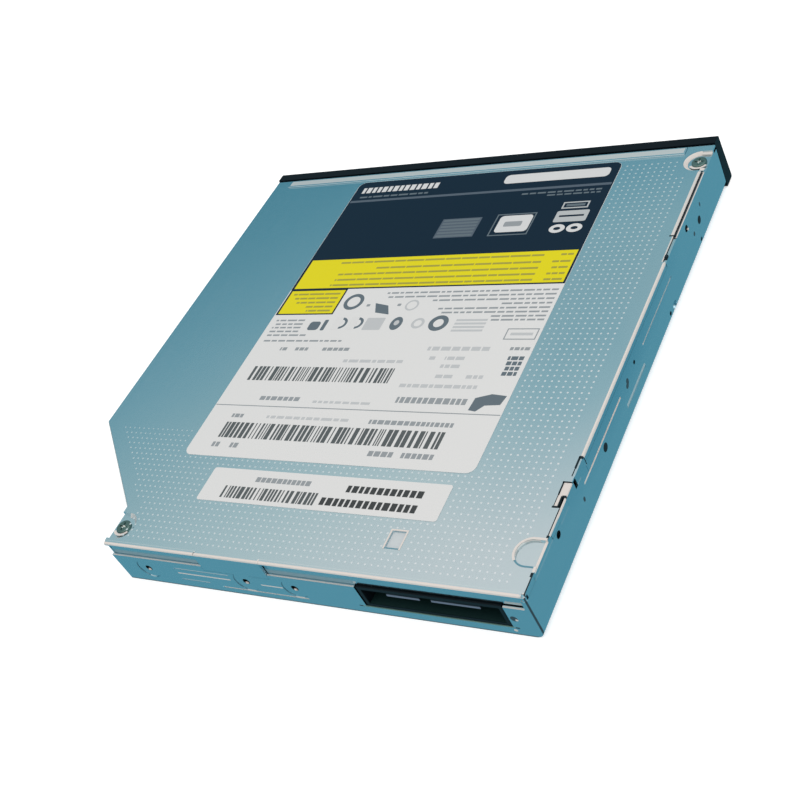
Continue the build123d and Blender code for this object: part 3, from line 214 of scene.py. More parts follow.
# Zinc-plated sheet of the case: blue-grey, satin, with painted highlights on folds and pressed lines
# and painted shade in seams, holes, dish rims and at the foot. Boxes in millimetres.
sheet = {
    "deep": (0.50, 0.665, 0.725),
    "pale": (0.58, 0.72, 0.775),
    "cloudScale": 22.0,
    "grainScale": 1500.0,
    "rolledScale": 900.0,
    "rolledRun": (1, 0.04, 1),
    "cloudShare": 0.7,
    "metal": 0.98,
    "rough": 0.15,
    "roughRun": {"clouds": 0.05, "grain": 0.06, "rolled": 0.04},
    "relief": 0.000004,
    # Painted highlight colour of folds, pressed lines, the front bead and glints
    "worn": (0.80, 0.745, 0.70),
    "wornMetal": 0.15,
    "shade": (0.003, 0.01, 0.02),
    # Painted shade, dark teal, on dish rims and the set-in flange strip
    "dishShade": (0.09, 0.27, 0.35),
    "cool": ((-56.0, 8.0, 12.4), (30.0, 46.0, 8.0)),
    "coolTone": (0.35, 0.56, 0.65),
    "coolRise": 1.3,
    "rim": (-59.0, -24.4, 62.9, 63.1, 2.08, 2.36),
    "rimTone": (0.14, 0.25, 0.22),
    "foldLean": (0.2, 0.965),
    "foldHeight": (11.0, 12.45),
    "dishLean": (0.03, 0.9),
    "dishFrom": 62.85,
    "dishHeight": (1.0, 8.0),
    # Painted shade on the walls just above the floor
    "footLean": 0.93,
    "footHeight": 0.34,
    # The front bead, lighter as a painted highlight
    "strip": (-57.3, 58.2, -62.3, -60.5, 12.5, 12.8),
    "matt": [(-25.7, 39.4, 62.3, 62.45, 8.3, 9.8)],
    # Painted highlights along folds and pressed lines
    "bright": [
        (-64.1, -63.5, -22.9, 30.9, 11.9, 12.5),
        (-63.5, -62.65, -53.5, -31.7, 12.2, 12.5),
        (-63.5, -63.1, -31.7, -23.2, 12.2, 12.5),
        (-64.1, -63.6, -53.5, -31.2, 11.93, 12.1),
        (-62.6, -58.4, 50.6, 54.6, 12.02, 12.38),
        (-62.9, 39.4, 62.5, 63.1, 12.0, 12.5),
        (-64.1, -63.5, 50.7, 57.6, 11.9, 12.5),
        (-64.1, -63.75, 43.3, 49.6, 12.0, 12.5),
        (-62.6, -58.2, 62.7, 63.1, 8.35, 9.9),
        (-25.7, -4.3, 62.7, 63.02, 8.3, 8.45),
        (13.4, 39.3, 62.7, 63.02, 8.3, 8.45),
        (7.5, 22.3, 62.8, 63.1, 4.55, 4.95),
        (-6.3, -0.6, 62.8, 63.1, 4.35, 4.7),
        (-11.4, 11.2, 62.8, 63.1, 1.6, 1.98),
        (-64.1, -63.8, -23.1, -2.8, 7.95, 8.3),
        (-64.1, -63.8, 11.9, 34.0, 8.0, 8.38),
    ],
    # A fainter painted highlight on a pressed line
    "faint": [(-64.1, -63.8, -0.9, 10.8, 4.2, 4.9)],
    # Painted shade in seams, gaps and the rear corner
    "dark": [
        (-64.1, -63.72, 62.75, 63.1, 0.4, 12.2),
        (-60.9, -59.6, 62.42, 63.1, 9.1, 9.5),
        (-63.75, -63.3, -53.4, -31.9, 11.9, 12.1),
        (-25.0, -24.1, 62.9, 63.1, 2.05, 2.4),
        (-59.4, -58.6, 62.9, 63.1, 2.0, 2.4),
    ],
    # Painted shade in small holes and dimples
    "spots": [
        ((-64.0, 7.5, 8.1), (0.3, 0.6, 0.75)),
        ((-64.0, 8.1, 7.5), (0.3, 0.65, 0.6)),
        ((-64.0, 36.1, 6.2), (0.3, 0.4, 0.6)),
        ((-64.0, -46.5, 8.7), (0.3, 0.35, 0.6)),
        ((-64.0, -39.7, 5.9), (0.3, 0.5, 0.55)),
        ((-59.3, 63.05, 5.1), (0.75, 0.3, 0.75)),
    ],
    "glints": [
        ((-59.75, 63.05, 4.75), (0.32, 0.3, 0.28)),
        ((-58.3, 63.05, 1.35), (0.4, 0.3, 0.35)),
        ((-64.0, -37.6, 9.1), (0.3, 0.35, 0.3)),
    ],
    "shares": {"fold": 0.8, "faint": 0.5, "strip": 0.72, "dishShade": 0.9, "matt": 0.8, "foot": 0.75,
               "dark": 0.96, "spots": 0.95},
}


def boxShare(finish, key):
    return finish.anyOf([finish.within(box) for box in sheet[key]]) * sheet["shares"].get(key, 1.0)


def spotMask(finish, key):
    return finish.anyOf([finish.near(*spot) for spot in sheet[key]])


def coolShare(finish):
    # 1 in the middle of the cooler patch, falling to 0 at its edge
    rise = sheet["coolRise"]
    nearness = rise - finish.farness(*sheet["cool"]) * rise
    return finish.node("Math", {"operation": "MINIMUM"}, {0: finish.most(nearness, 0), 1: 1})


def dishShadeShare(finish, lean, height):
    # Painted shade, dark teal, on the sloping rims round the rear holes and on the set-in flange strip
    flat, steep = sheet["dishLean"]
    low, high = sheet["dishHeight"]
    rims = (lean > flat) * (lean < steep) * (finish.axis("Y") > sheet["dishFrom"] * mm)
    rims = rims * (height > low * mm) * (height < high * mm) * sheet["shares"]["dishShade"]
    return finish.most(rims, boxShare(finish, "matt"))


def wornShare(finish, lean, height, glints):
    # Painted highlight where a fold, a pressed line, the front bead or a glint would catch the light
    flat, steep = sheet["foldLean"]
    low, high = sheet["foldHeight"]
    fold = (lean > flat) * (lean < steep) * (height > low * mm) * (height < high * mm)
    strip = finish.within(sheet["strip"]) * sheet["shares"]["strip"]
    return finish.anyOf([fold * sheet["shares"]["fold"], boxShare(finish, "bright"),
                         boxShare(finish, "faint"), strip, glints])


def paintedShadeShare(finish, lean, height, glints):
    # Painted shade along the foot where the walls meet the floor, in seams, gaps and corners, and in
    # the small holes
    foot = (height < sheet["footHeight"] * mm) * (lean < sheet["footLean"])
    holes = spotMask(finish, "spots") * sheet["shares"]["spots"]
    masks = [foot * sheet["shares"]["foot"], boxShare(finish, "dark"), holes]
    return finish.anyOf(masks) * (1 - glints)


def sheetSteel(name):
    finish, material = newFinish(name, {})
    clouds = finish.cloud(sheet["cloudScale"], 4.0)
    grain = finish.cloud(sheet["grainScale"], 2.0)
    rolled = finish.cloud(sheet["rolledScale"], 2.0, sheet["rolledRun"])
    facing = finish.node("SeparateXYZ", values={0: finish.node("NewGeometry", out="Normal")}, out="Z")
    lean = finish.node("Math", {"operation": "ABSOLUTE"}, {0: facing})
    height = finish.axis("Z")
    glints = spotMask(finish, "glints")
    dishShade = dishShadeShare(finish, lean, height)
    worn = wornShare(finish, lean, height, glints)
    dark = paintedShadeShare(finish, lean, height, glints)
    rim = finish.within(sheet["rim"]) * (1 - dark)
    mottle = clouds * sheet["cloudShare"] + grain * (1 - sheet["cloudShare"])
    colour = finish.blend(mottle, sheet["deep"], sheet["pale"])
    colour = finish.blend(coolShare(finish), colour, sheet["coolTone"])
    colour = finish.blend(dishShade, colour, sheet["dishShade"])
    # Painted highlights on folds, pressed lines and glints
    colour = finish.blend(worn, colour, sheet["worn"])
    colour = finish.blend(dark, colour, sheet["shade"])
    colour = finish.blend(rim, colour, sheet["rimTone"])
    metal = (grain * (1 - sheet["metal"]) + sheet["metal"]) * (1 - dishShade)
    metal = metal * (1 - worn * (1 - sheet["wornMetal"])) * (1 - dark) * (1 - rim)
    run = sheet["roughRun"]
    rough = clouds * run["clouds"] + grain * run["grain"] + rolled * run["rolled"]
    dress(finish, {
        "Base Color": colour,
        "Metallic": metal,
        "Roughness": rough + (sheet["rough"] - sum(run.values()) / 2),
        "Normal": finish.relief(grain * 0.6 + rolled * 0.4, sheet["relief"]),
    })
    return material


# Bright ground steel of shafts, rods and small plates
ground = {"lineScale": 1400.0, "lineRun": (1, 1, 0.05), "cloudScale": 60.0, "dark": 0.82,
          "roughRun": 0.12, "relief": 0.000003}


def brightSteel(name, colour, rough):
    finish, material = newFinish(name, {"Metallic": 1.0})
    lines = finish.cloud(ground["lineScale"], 2.0, ground["lineRun"])
    clouds = finish.cloud(ground["cloudScale"])
    dress(finish, {
        "Base Color": finish.blend(clouds, toned(colour, ground["dark"]), colour),
        "Roughness": lines * ground["roughRun"] + (rough - ground["roughRun"] / 2),
        "Normal": finish.relief(lines, ground["relief"]),
    })
    return material


# Screw heads, dark green-grey, with a painted highlight in the centre
screws = {
    "centres": [(-61.7, -57.5, 12.0), (37.1, 57.9, 12.0)],
    "glint": (0.42, 0.42, 1.0),
    "glintTone": (0.9, 0.92, 0.88),
    "tones": ((0.06, 0.14, 0.13), (0.2, 0.3, 0.27)),
}


def screwSteel(name):
    finish, material = newFinish(name, {"Metallic": 0.9})
    clouds = finish.cloud(700.0)
    fine = finish.cloud(4000.0)
    glint = finish.anyOf([finish.near(centre, screws["glint"]) for centre in screws["centres"]])
    plating = finish.blend(clouds, *screws["tones"])
    dress(finish, {
        "Base Color": finish.blend(glint, plating, screws["glintTone"]),
        "Roughness": fine * 0.2 + 0.22,
        "Normal": finish.relief(fine, 0.00001),
    })
    return material


# Moulded plastics: a fine grain with slow changes of shade
def moulded(name, dark, light, rough, grainScale=2600.0, depth=0.00001, shine=0.5, metal=0.0):
    finish, material = newFinish(name, {"Metallic": metal, "Specular IOR Level": shine})
    clouds = finish.cloud(45.0)
    grain = finish.cloud(grainScale, 2.0)
    dress(finish, {
        "Base Color": finish.blend(clouds * 0.6 + grain * 0.4, dark, light),
        "Roughness": clouds * 0.08 + grain * 0.08 + (rough - 0.08),
        "Normal": finish.relief(grain, depth),
    })
    return material


# Paint on the mechanism's cover sheet
paint = {"tones": ((0.018, 0.02, 0.024), (0.035, 0.04, 0.045)), "grainScale": 3200.0}


def paintedSteel(name):
    finish, material = newFinish(name, {"Metallic": 0.3})
    grain = finish.cloud(paint["grainScale"], 3.0)
    clouds = finish.cloud(30.0)
    dress(finish, {
        "Base Color": finish.blend(clouds, *paint["tones"]),
        "Roughness": grain * 0.2 + 0.32,
        "Normal": finish.relief(grain, 0.000012),
    })
    return material


# Solder mask over copper tracks
board = {
    "mask": (0.018, 0.085, 0.075),
    "track": (0.05, 0.19, 0.155),
    "pitch": 0.0012,
    "share": 0.34,
    "slant": 0.35,
    "crossPitch": 0.0012 * 3.1,
    "crossShare": 0.22,
}


def circuitBoard(name):
    finish, material = newFinish(name, {"Metallic": 0.0, "Coat Roughness": 0.15})
    slanted = finish.axis("X") + finish.axis("Y") * board["slant"]
    along = finish.stripes(slanted, board["pitch"], board["share"])
    across = finish.stripes(finish.axis("Y"), board["crossPitch"], board["crossShare"])
    fields = finish.cloud(160.0, 1.0) > 0.5
    tracks = along * fields + across * (1 - fields)
    clouds = finish.cloud(300.0)
    mask = finish.blend(clouds, board["mask"], toned(board["mask"], 1.4))
    dress(finish, {
        "Base Color": finish.blend(tracks, mask, board["track"]),
        "Roughness": tracks * 0.08 + clouds * 0.1 + 0.24,
        "Coat Weight": tracks * 0.3 + 0.3,
        "Normal": finish.relief(tracks, 0.00002),
    })
    return material


# Flat cable film with its conductors showing through
ribbon = {"film": (0.74, 0.72, 0.62), "wire": (0.5, 0.42, 0.27), "pitch": 0.0005, "share": 0.55}


def cableFilm(name):
    finish, material = newFinish(name, {"Metallic": 0.0})
    wires = finish.stripes(finish.axis("X"), ribbon["pitch"], ribbon["share"])
    clouds = finish.cloud(120.0)
    shade = finish.blend(clouds, ribbon["film"], toned(ribbon["film"], 0.9))
    dress(finish, {
        "Base Color": finish.blend(wires * 0.6, shade, ribbon["wire"]),
        "Roughness": clouds * 0.15 + 0.28,
        "Normal": finish.relief(wires, 0.00001),
    })
    return material


# Enamelled copper turns, with painted shade in the gaps between them
coil = {"tones": ((0.55, 0.22, 0.1), (0.78, 0.38, 0.18)), "gap": (0.22, 0.08, 0.04), "pitch": 0.0003,
        "share": 0.6}


def coilWire(name):
    finish, material = newFinish(name, {"Metallic": 0.85})
    turns = finish.stripes(finish.axis("Z"), coil["pitch"], coil["share"])
    clouds = finish.cloud(500.0)
    dress(finish, {
        "Base Color": finish.blend(turns, coil["gap"], finish.blend(clouds, *coil["tones"])),
        "Roughness": clouds * 0.15 + 0.25,
        "Normal": finish.relief(turns, 0.00004),
    })
    return material


# Coated lens
def lensCoat(name):
    finish, material = newFinish(name, {"Metallic": 0.0, "Coat Roughness": 0.02})
    clouds = finish.cloud(900.0, 1.0)
    dress(finish, {
        "Base Color": finish.blend(clouds, (0.09, 0.08, 0.22), (0.16, 0.2, 0.38)),
        "Roughness": clouds * 0.03 + 0.03,
        "Coat Weight": clouds * 0.2 + 0.8,
    })
    return material


# Printed film and its inks
def printed(name, colour, spread=0.07, rough=0.36, shine=0.3):
    finish, material = newFinish(name, {"Metallic": 0.0, "Specular IOR Level": shine})
    mottle = finish.cloud(2400.0, 2.0)
    clouds = finish.cloud(40.0)
    dress(finish, {
        "Base Color": finish.blend(mottle * 0.5 + clouds * 0.5, toned(colour, 1 - spread), colour),
        "Roughness": mottle * 0.08 + clouds * 0.06 + (rough - 0.07),
        "Normal": finish.relief(mottle, 0.000003),
    })
    return material


finishes = {
    "case_steel": sheetSteel("zincSheet"),
    "bright_steel": brightSteel("groundSteel", (0.78, 0.8, 0.81), 0.22),
    "screw_steel": screwSteel("screwSteel"),
    "black_steel": paintedSteel("blackPaint"),
    "label_paper": printed("labelFilm", (0.80, 0.80, 0.79), 0.03),
    "tray_plastic": moulded("trayPlastic", (0.016, 0.018, 0.02), (0.028, 0.031, 0.034), 0.5),
    "bezel_plastic": moulded("bezelPlastic", (0.001, 0.003, 0.006), (0.002, 0.006, 0.011), 0.45, 1800.0,
                             0.00003, 0.12),
    "guide_plastic": moulded("slidePlastic", (0.62, 0.62, 0.58), (0.74, 0.74, 0.7), 0.42),
    "board_green": circuitBoard("greenBoard"),
    "chip_black": moulded("chipCase", (0.014, 0.015, 0.016), (0.03, 0.031, 0.032), 0.55, 5000.0),
    "connector_plastic": moulded("socketPlastic", (0.003, 0.006, 0.009), (0.006, 0.011, 0.015), 0.4,
                                 shine=0.15),
    "contact_gold": brightSteel("contactGold", (0.86, 0.66, 0.3), 0.2),
    "ribbon_film": cableFilm("cableFilm"),
    "damper_rubber": moulded("damperRubber", (0.03, 0.03, 0.032), (0.05, 0.05, 0.052), 0.7, 1500.0),
    "coil_copper": coilWire("coilWire"),
    "cast_metal": moulded("castMetal", (0.42, 0.43, 0.44), (0.55, 0.56, 0.57), 0.4, 900.0, 0.00003,
                          metal=0.8),
    "lens_glass": lensCoat("lensCoat"),
    "lamp_clear": moulded("lampClear", (0.62, 0.68, 0.64), (0.75, 0.8, 0.76), 0.2, 400.0),
}
nodeFinishes = {
    "left_guide": moulded("guidePlastic", (0.006, 0.009, 0.012), (0.012, 0.016, 0.02), 0.5, shine=0.2),
}
nodeFinishes["right_guide"] = nodeFinishes["left_guide"]

for part in frame["record"]["subparts"]:
    for holder in frame["nodes"][part["node"]].material_slots:
        holder.material = nodeFinishes.get(part["node"], finishes[part["material_slot"]])
print("finishes on the carried parts")


class Form:
    # Collects closed solids, sized in millimetres, into one mesh
    def __init__(self):
        self.points = []
        self.faces = []

    def prism(self, outline, low, high, top=None):
        first = len(self.points)
        count = len(outline)
        upper = top or outline
        self.points += [(x * mm, y * mm, low * mm) for x, y in outline]
        self.points += [(x * mm, y * mm, high * mm) for x, y in upper]
        self.faces.append([first + count - 1 - n for n in range(count)])
        self.faces.append([first + count + n for n in range(count)])
        for n in range(count):
            m = (n + 1) % count
            self.faces.append([first + n, first + m, first + count + m, first + count + n])

    def box(self, x0, x1, y0, y1, z0, z1):
        self.prism(boxOutline(x0, x1, y0, y1), z0, z1)

    def beam(self, profile, x0, x1):
        # A closed outline of y and z, drawn out along x
        first = len(self.points)
        count = len(profile)
        for x in (x0, x1):
            self.points += [(x * mm, y * mm, z * mm) for y, z in profile]
        self.faces.append([first + n for n in range(count)])
        self.faces.append([first + 2 * count - 1 - n for n in range(count)])
        for n in range(count):
            m = (n + 1) % count
            self.faces.append([first + n, first + count + n, first + count + m, first + m])

    def arc(self, x, y, outer, inner, low, high, start, end, steps=20):
        # Part of a flat or sloping ring: low and high are the heights at the inner and outer edge
        under = min(low, high) - sunk
        turns = [math.radians(start + (end - start) * n / steps) for n in range(steps + 1)]
        for one, two in zip(turns, turns[1:]):
            first = len(self.points)
            for turn in (one, two):
                for radius, height in ((inner, under), (outer, under), (outer, high), (inner, low)):
                    self.points.append(((x + radius * math.cos(turn)) * mm,
                                        (y + radius * math.sin(turn)) * mm, height * mm))
            self.faces += [[first + n for n in order] for order in
                           ((0, 1, 2, 3), (4, 7, 6, 5), (0, 4, 5, 1), (1, 5, 6, 2), (2, 6, 7, 3),
                            (3, 7, 4, 0))]

    def ring(self, x, y, outer, inner, low, high, sides=32):
        first = len(self.points)
        for z in (low, high):
            for radius in (outer, inner):
                for px, py in roundOutline(x, y, radius, sides):
                    self.points.append((px * mm, py * mm, z * mm))
        for n in range(sides):
            m = (n + 1) % sides
            lowOuter, lowInner = first, first + sides
            highOuter, highInner = first + 2 * sides, first + 3 * sides
            self.faces.append([lowOuter + n, lowOuter + m, highOuter + m, highOuter + n])
            self.faces.append([lowInner + m, lowInner + n, highInner + n, highInner + m])
            self.faces.append([highOuter + n, highOuter + m, highInner + m, highInner + n])
            self.faces.append([lowOuter + m, lowOuter + n, lowInner + n, lowInner + m])

    def piece(self, name, material, slot, body="chassis"):
        mesh = bpy.data.meshes.new(name)
        mesh.from_pydata(self.points, [], self.faces)
        mesh.validate()
        shell = bmesh.new()
        shell.from_mesh(mesh)
        bmesh.ops.recalc_face_normals(shell, faces=shell.faces)
        shell.to_mesh(mesh)
        shell.free()
        made = bpy.data.objects.new(name, mesh)
        bpy.context.scene.collection.objects.link(made)
        mesh.materials.append(material)
        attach(made, body)
        return made


def roundOutline(x, y, radius, sides, squash=1.0):
    turns = [2 * math.pi * n / sides for n in range(sides)]
    return [(x + radius * math.cos(t), y + squash * radius * math.sin(t)) for t in turns]


def boxOutline(x0, x1, y0, y1, radii=(0, 0, 0, 0), steps=5):
    # Corners in turn: low x low y, high x low y, high x high y, low x high y
    corners = ((x0, y0, 1, 1, 180), (x1, y0, -1, 1, 270), (x1, y1, -1, -1, 0), (x0, y1, 1, -1, 90))
    points = []
    for (x, y, inX, inY, start), radius in zip(corners, radii):
        if radius == 0:
            points.append((x, y))
            continue
        for n in range(steps + 1):
            turn = math.radians(start + 90 * n / steps)
            points.append((x + inX * radius + radius * math.cos(turn),
                           y + inY * radius + radius * math.sin(turn)))
    return points


# Printed fields of the two labels. Sizes in millimetres, from the photo laid flat.
labels = {
    "top": 12.5,
    "sunk": 0.03,
    "layers": (0.012, 0.024, 0.036),
    "seed": 7,
    "shortest": 0.3,
    "barWidths": (0.3, 0.3, 0.55, 0.85, 1.1),
    "barGaps": (0.28, 0.45, 0.7),
}
draw = random.Random(labels["seed"])
inks = {}


def inkForm(ink, layer):
    return inks.setdefault((ink, layer), Form())


def field(ink, layer, outline):
    rise = labels["layers"][layer]
    inkForm(ink, layer).prism(outline, labels["top"] - labels["sunk"], labels["top"] + rise)


def bar(ink, layer, x0, x1, y0, y1, radius=0.0):
    field(ink, layer, boxOutline(x0, x1, y0, y1, (radius,) * 4))


def oval(ink, layer, x, y, radius, sides, squash):
    field(ink, layer, roundOutline(x, y, radius, sides, squash))


def hoop(ink, layer, x, y, outer, inner):
    rise = labels["layers"][layer]
    inkForm(ink, layer).ring(x, y, outer, inner, labels["top"] - labels["sunk"],
                             labels["top"] + rise)


def frameLine(ink, layer, x0, x1, y0, y1, width):
    bar(ink, layer, x0, x1, y0, y0 + width)
    bar(ink, layer, x0, x1, y1 - width, y1)
    bar(ink, layer, x0, x0 + width, y0 + width, y1 - width)
    bar(ink, layer, x1 - width, x1, y0 + width, y1 - width)


def dashes(ink, layer, x0, x1, y, height, shortest=0.9, longest=3.0, gap=0.45):
    x = x0
    while x < x1:
        end = min(x1, x + draw.uniform(shortest, longest))
        if end - x > labels["shortest"]:
            bar(ink, layer, x, end, y - height / 2, y + height / 2)
        x = end + gap


def barRow(ink, layer, x0, x1, y0, y1):
    x = x0
    while x < x1 - labels["shortest"]:
        width = draw.choice(labels["barWidths"])
        bar(ink, layer, x, min(x1, x + width), y0, y1)
        x += width + draw.choice(labels["barGaps"])


# What is printed, zone by zone. Each row is a shape, its ink and layer, then its place and size:
# bar x0 x1 y0 y1 and corner, dashes x0 x1 y and height with shortest, longest and gap, hoop x y and
# two radii, frameLine x0 x1 y0 y1 and width, oval x y radius, sides and squash.
prints = {
    "front": [
        (field, "navy", 0, boxOutline(-42.75, 33.1, -59.35, -17.15, (1.9, 1.9, 0, 0))),
        (bar, "line", 1, -42.4, 32.7, -51.8, -50.95),
        (bar, "white", 1, -40.6, -12.3, -57.6, -54.2, 1.2),
        (dashes, "white", 1, 7.0, 30.8, -55.8, 2.2, 1.0, 1.9, 0.5),
        (dashes, "slate", 1, 9.0, 30.4, -53.0, 0.6),
        (dashes, "slate", 1, -40.6, -19.5, -49.6, 0.55),
        (dashes, "slate", 1, -40.6, -26.0, -48.5, 0.5),
        (bar, "line", 1, -11.9, -0.8, -41.7, -34.6),
        *[(bar, "slate", 2, -11.4, -1.3, -41.4 + 1.15 * n, -40.7 + 1.15 * n) for n in range(6)],
        (frameLine, "slate", 1, -26.6, -16.0, -42.3, -34.4, 0.35),
        (bar, "white", 1, -26.0, -17.2, -41.6, -35.6, 1.0),
        (bar, "grey", 2, -23.8, -19.0, -39.4, -37.6, 0.4),
        (frameLine, "pale", 1, -39.2, -32.4, -45.4, -43.0, 0.4),
        (bar, "slate", 1, -38.2, -33.4, -44.6, -43.8),
        (bar, "pale", 1, -40.2, -31.9, -42.2, -38.2, 0.5),
        (bar, "navy", 2, -39.2, -32.9, -40.6, -40.0),
        (oval, "white", 1, -38.3, -35.9, 2.0, 24, 0.75),
        (oval, "navy", 2, -38.3, -35.9, 0.9, 16, 0.6),
        (oval, "white", 1, -33.9, -35.9, 2.0, 24, 0.75),
        (oval, "navy", 2, -33.9, -35.9, 0.9, 16, 0.6),
    ],
    "wideYellow": [
        (bar, "yellow", 1, -42.2, 32.3, -28.2, -17.6),
        *[row for y, end, tail in ((-26.8, 22.5, -38.4), (-24.5, 11.3, -37.0), (-22.5, 21.3, -37.0),
                                   (-20.5, 21.3, -37.0), (-18.6, 21.7, -37.0))
          for row in ((dashes, "olive", 2, -34.2, end, y, 0.62, 2.0, 6.0, 0.3),
                      (dashes, "olive", 2, -41.5, tail, y, 0.62, 1.2, 2.6, 0.3))],
    ],
    "smallYellow": [
        (bar, "navy", 0, 15.4, 32.9, -17.15, -8.25),
        (bar, "yellow", 1, 15.85, 32.3, -16.75, -8.65),
        *[(dashes, "olive", 2, 16.9, end, y, 0.6, 2.0, 5.0, 0.3)
          for y, end in ((-15.5, 31.2), (-14.0, 30.0), (-12.5, 28.7), (-11.0, 25.4), (-9.6, 24.2))],
    ],
    "paragraphs": [
        *[(dashes, "grey", 0, -42.0, end, y, 0.52)
          for y, end in ((-15.3, 2.9), (-13.9, 2.4), (-12.5, -11.0), (-11.1, -29.6), (-9.7, -13.0),
                         (-8.4, -15.0), (-7.1, -28.4), (-5.9, -29.0))],
        *[(dashes, "grey", 0, start, 31.4, y, 0.52)
          for y, start in ((-6.3, 22.6), (-5.0, 22.6), (-3.8, 22.6), (-2.5, 22.6), (-1.2, 19.6),
                           (0.7, 8.0))],
    ],
    "marks": [
        (hoop, "slate", 0, 11.3, -12.5, 2.75, 1.75),
        (field, "slate", 1, [(4.6, -11.9), (0.6, -11.0), (-0.9, -8.0), (3.2, -8.7)]),
        (bar, "grey", 0, 5.9, 6.9, -11.6, -10.8, 0.2),
        (bar, "grey", 0, -2.9, -1.9, -11.6, -10.8, 0.2),
        (hoop, "haze", 0, -6.0, -11.0, 1.8, 1.3),
        (bar, "slate", 0, 17.2, 20.4, -5.8, -2.9, 0.8),
        (bar, "slate", 0, 15.3, 16.4, -6.4, -2.8, 0.3),
        (hoop, "slate", 0, 11.4, -5.2, 1.9, 1.2),
        (bar, "paper", 1, 11.3, 13.5, -7.3, -3.1),
        (hoop, "slate", 0, 6.8, -5.2, 1.9, 1.2),
        (bar, "paper", 1, 6.7, 8.9, -7.3, -3.1),
        (bar, "haze", 0, -0.8, 4.3, -6.9, -2.9, 0.3),
        (oval, "slate", 0, -4.5, -5.0, 1.6, 24, 1.35),
        (oval, "haze", 1, -4.5, -5.2, 0.7, 16, 1.2),
        (hoop, "haze", 0, -10.4, -5.0, 1.7, 1.0),
        (hoop, "slate", 0, -15.9, -5.0, 2.5, 1.3),
        *[(bar, "haze", 0, -28.2, -20.2, -6.2 + 1.1 * n, -5.6 + 1.1 * n) for n in range(4)],
        (frameLine, "grey", 0, -42.1, -34.4, -3.2, 0.2, 0.28),
        (bar, "haze", 0, -41.0, -35.6, -1.9, -1.1),
    ],
    "firstCode": [
        *[(dashes, "grey", 0, x0, x1, 3.4, 1.0, 0.8, 1.6, 0.3)
          for x0, x1 in ((22.6, 24.6), (16.3, 20.4), (4.4, 12.0))],
        (dashes, "haze", 0, -32.4, -16.8, 3.0, 1.2),
        *[(dashes, "haze", 0, x0, x1, y, 1.0, 0.8, 2.2, 0.35)
          for x0, x1, y in ((-20.0, -18.3, 5.9), (-27.4, -22.5, 5.9), (-27.2, -22.4, 8.3),
                            (-26.7, -22.5, 11.3), (-34.2, -30.1, 11.3), (-34.0, -14.7, 14.2))],
        (dashes, "grey", 0, -42.0, -37.2, 2.9, 0.9, 0.5, 1.2, 0.3),
        *[(dashes, "slate", 0, -41.7, -37.9, 5.7 + 1.5 * n, 1.1, 0.7, 1.6, 0.25) for n in range(4)],
        (dashes, "haze", 0, -12.1, 4.1, 7.1, 0.9),
        (barRow, "coal", 0, -11.2, 28.7, 9.2, 13.7),
        (dashes, "grey", 0, 9.9, 21.3, 19.2, 1.2, 0.8, 1.6, 0.35),
        (dashes, "haze", 0, -9.7, 5.8, 19.8, 0.7),
        (dashes, "grey", 0, -33.3, -15.9, 18.4, 1.7, 0.9, 1.6, 0.35),
        (field, "slate", 0, [(-34.6, 20.6), (-34.9, 17.2), (-38.4, 16.0), (-42.0, 16.4), (-41.4, 18.9),
                             (-37.9, 19.2), (-36.4, 20.9)]),
        (bar, "grey", 0, -42.6, 33.0, 21.55, 21.8),
    ],
    "secondCode": [
        (dashes, "grey", 0, 22.9, 26.2, 24.8, 1.1, 0.7, 1.3, 0.25),
        (dashes, "haze", 0, -6.6, 16.0, 24.8, 0.8),
        (dashes, "grey", 0, -33.0, -12.1, 24.9, 1.2, 0.7, 1.6, 0.3),
        (barRow, "coal", 0, -32.1, 26.4, 26.8, 31.4),
        *[(dashes, "grey", 0, x0, x1, 33.5, 1.4, 0.8, 1.5, 0.3)
          for x0, x1 in ((24.6, 26.7), (19.2, 21.4), (-16.6, -16.2), (-22.3, -16.3), (-32.1, -24.4))],
    ],
    "smallLabel": [
        (barRow, "coal", 0, -9.6, 16.3, 44.7, 47.9),
        (dashes, "grey", 0, -6.3, 8.3, 42.5, 1.3, 0.8, 1.3, 0.25),
        (dashes, "black", 0, -34.2, -15.7, 43.0, 1.75, 0.9, 1.4, 0.4),
        (dashes, "black", 0, -34.2, -11.0, 46.6, 1.95, 0.9, 1.5, 0.4),
    ],
}


def printLabels():
    for rows in prints.values():
        for shape, *settings in rows:
            shape(*settings)


inkColours = {
    "navy": (0.006, 0.021, 0.042),
    "line": (0.10, 0.135, 0.175),
    "slate": (0.13, 0.17, 0.2),
    "grey": (0.33, 0.36, 0.38),
    "haze": (0.58, 0.6, 0.61),
    "pale": (0.52, 0.55, 0.56),
    "white": (0.74, 0.75, 0.75),
    "paper": (0.80, 0.80, 0.79),
    "black": (0.045, 0.05, 0.052),
    "coal": (0.10, 0.115, 0.12),
    "yellow": (0.84, 0.745, 0.008),
    "olive": (0.42, 0.38, 0.045),
}
printLabels()
inkShine = {"navy": 0.08, "line": 0.08, "yellow": 0.12}
inkFinishes = {ink: printed(ink + "Ink", colour, shine=inkShine.get(ink, 0.3))
               for ink, colour in inkColours.items()}
for (ink, layer), form in inks.items():
    form.piece(f"{ink}Print{layer}", inkFinishes[ink], "label_paper")
print("labels printed")


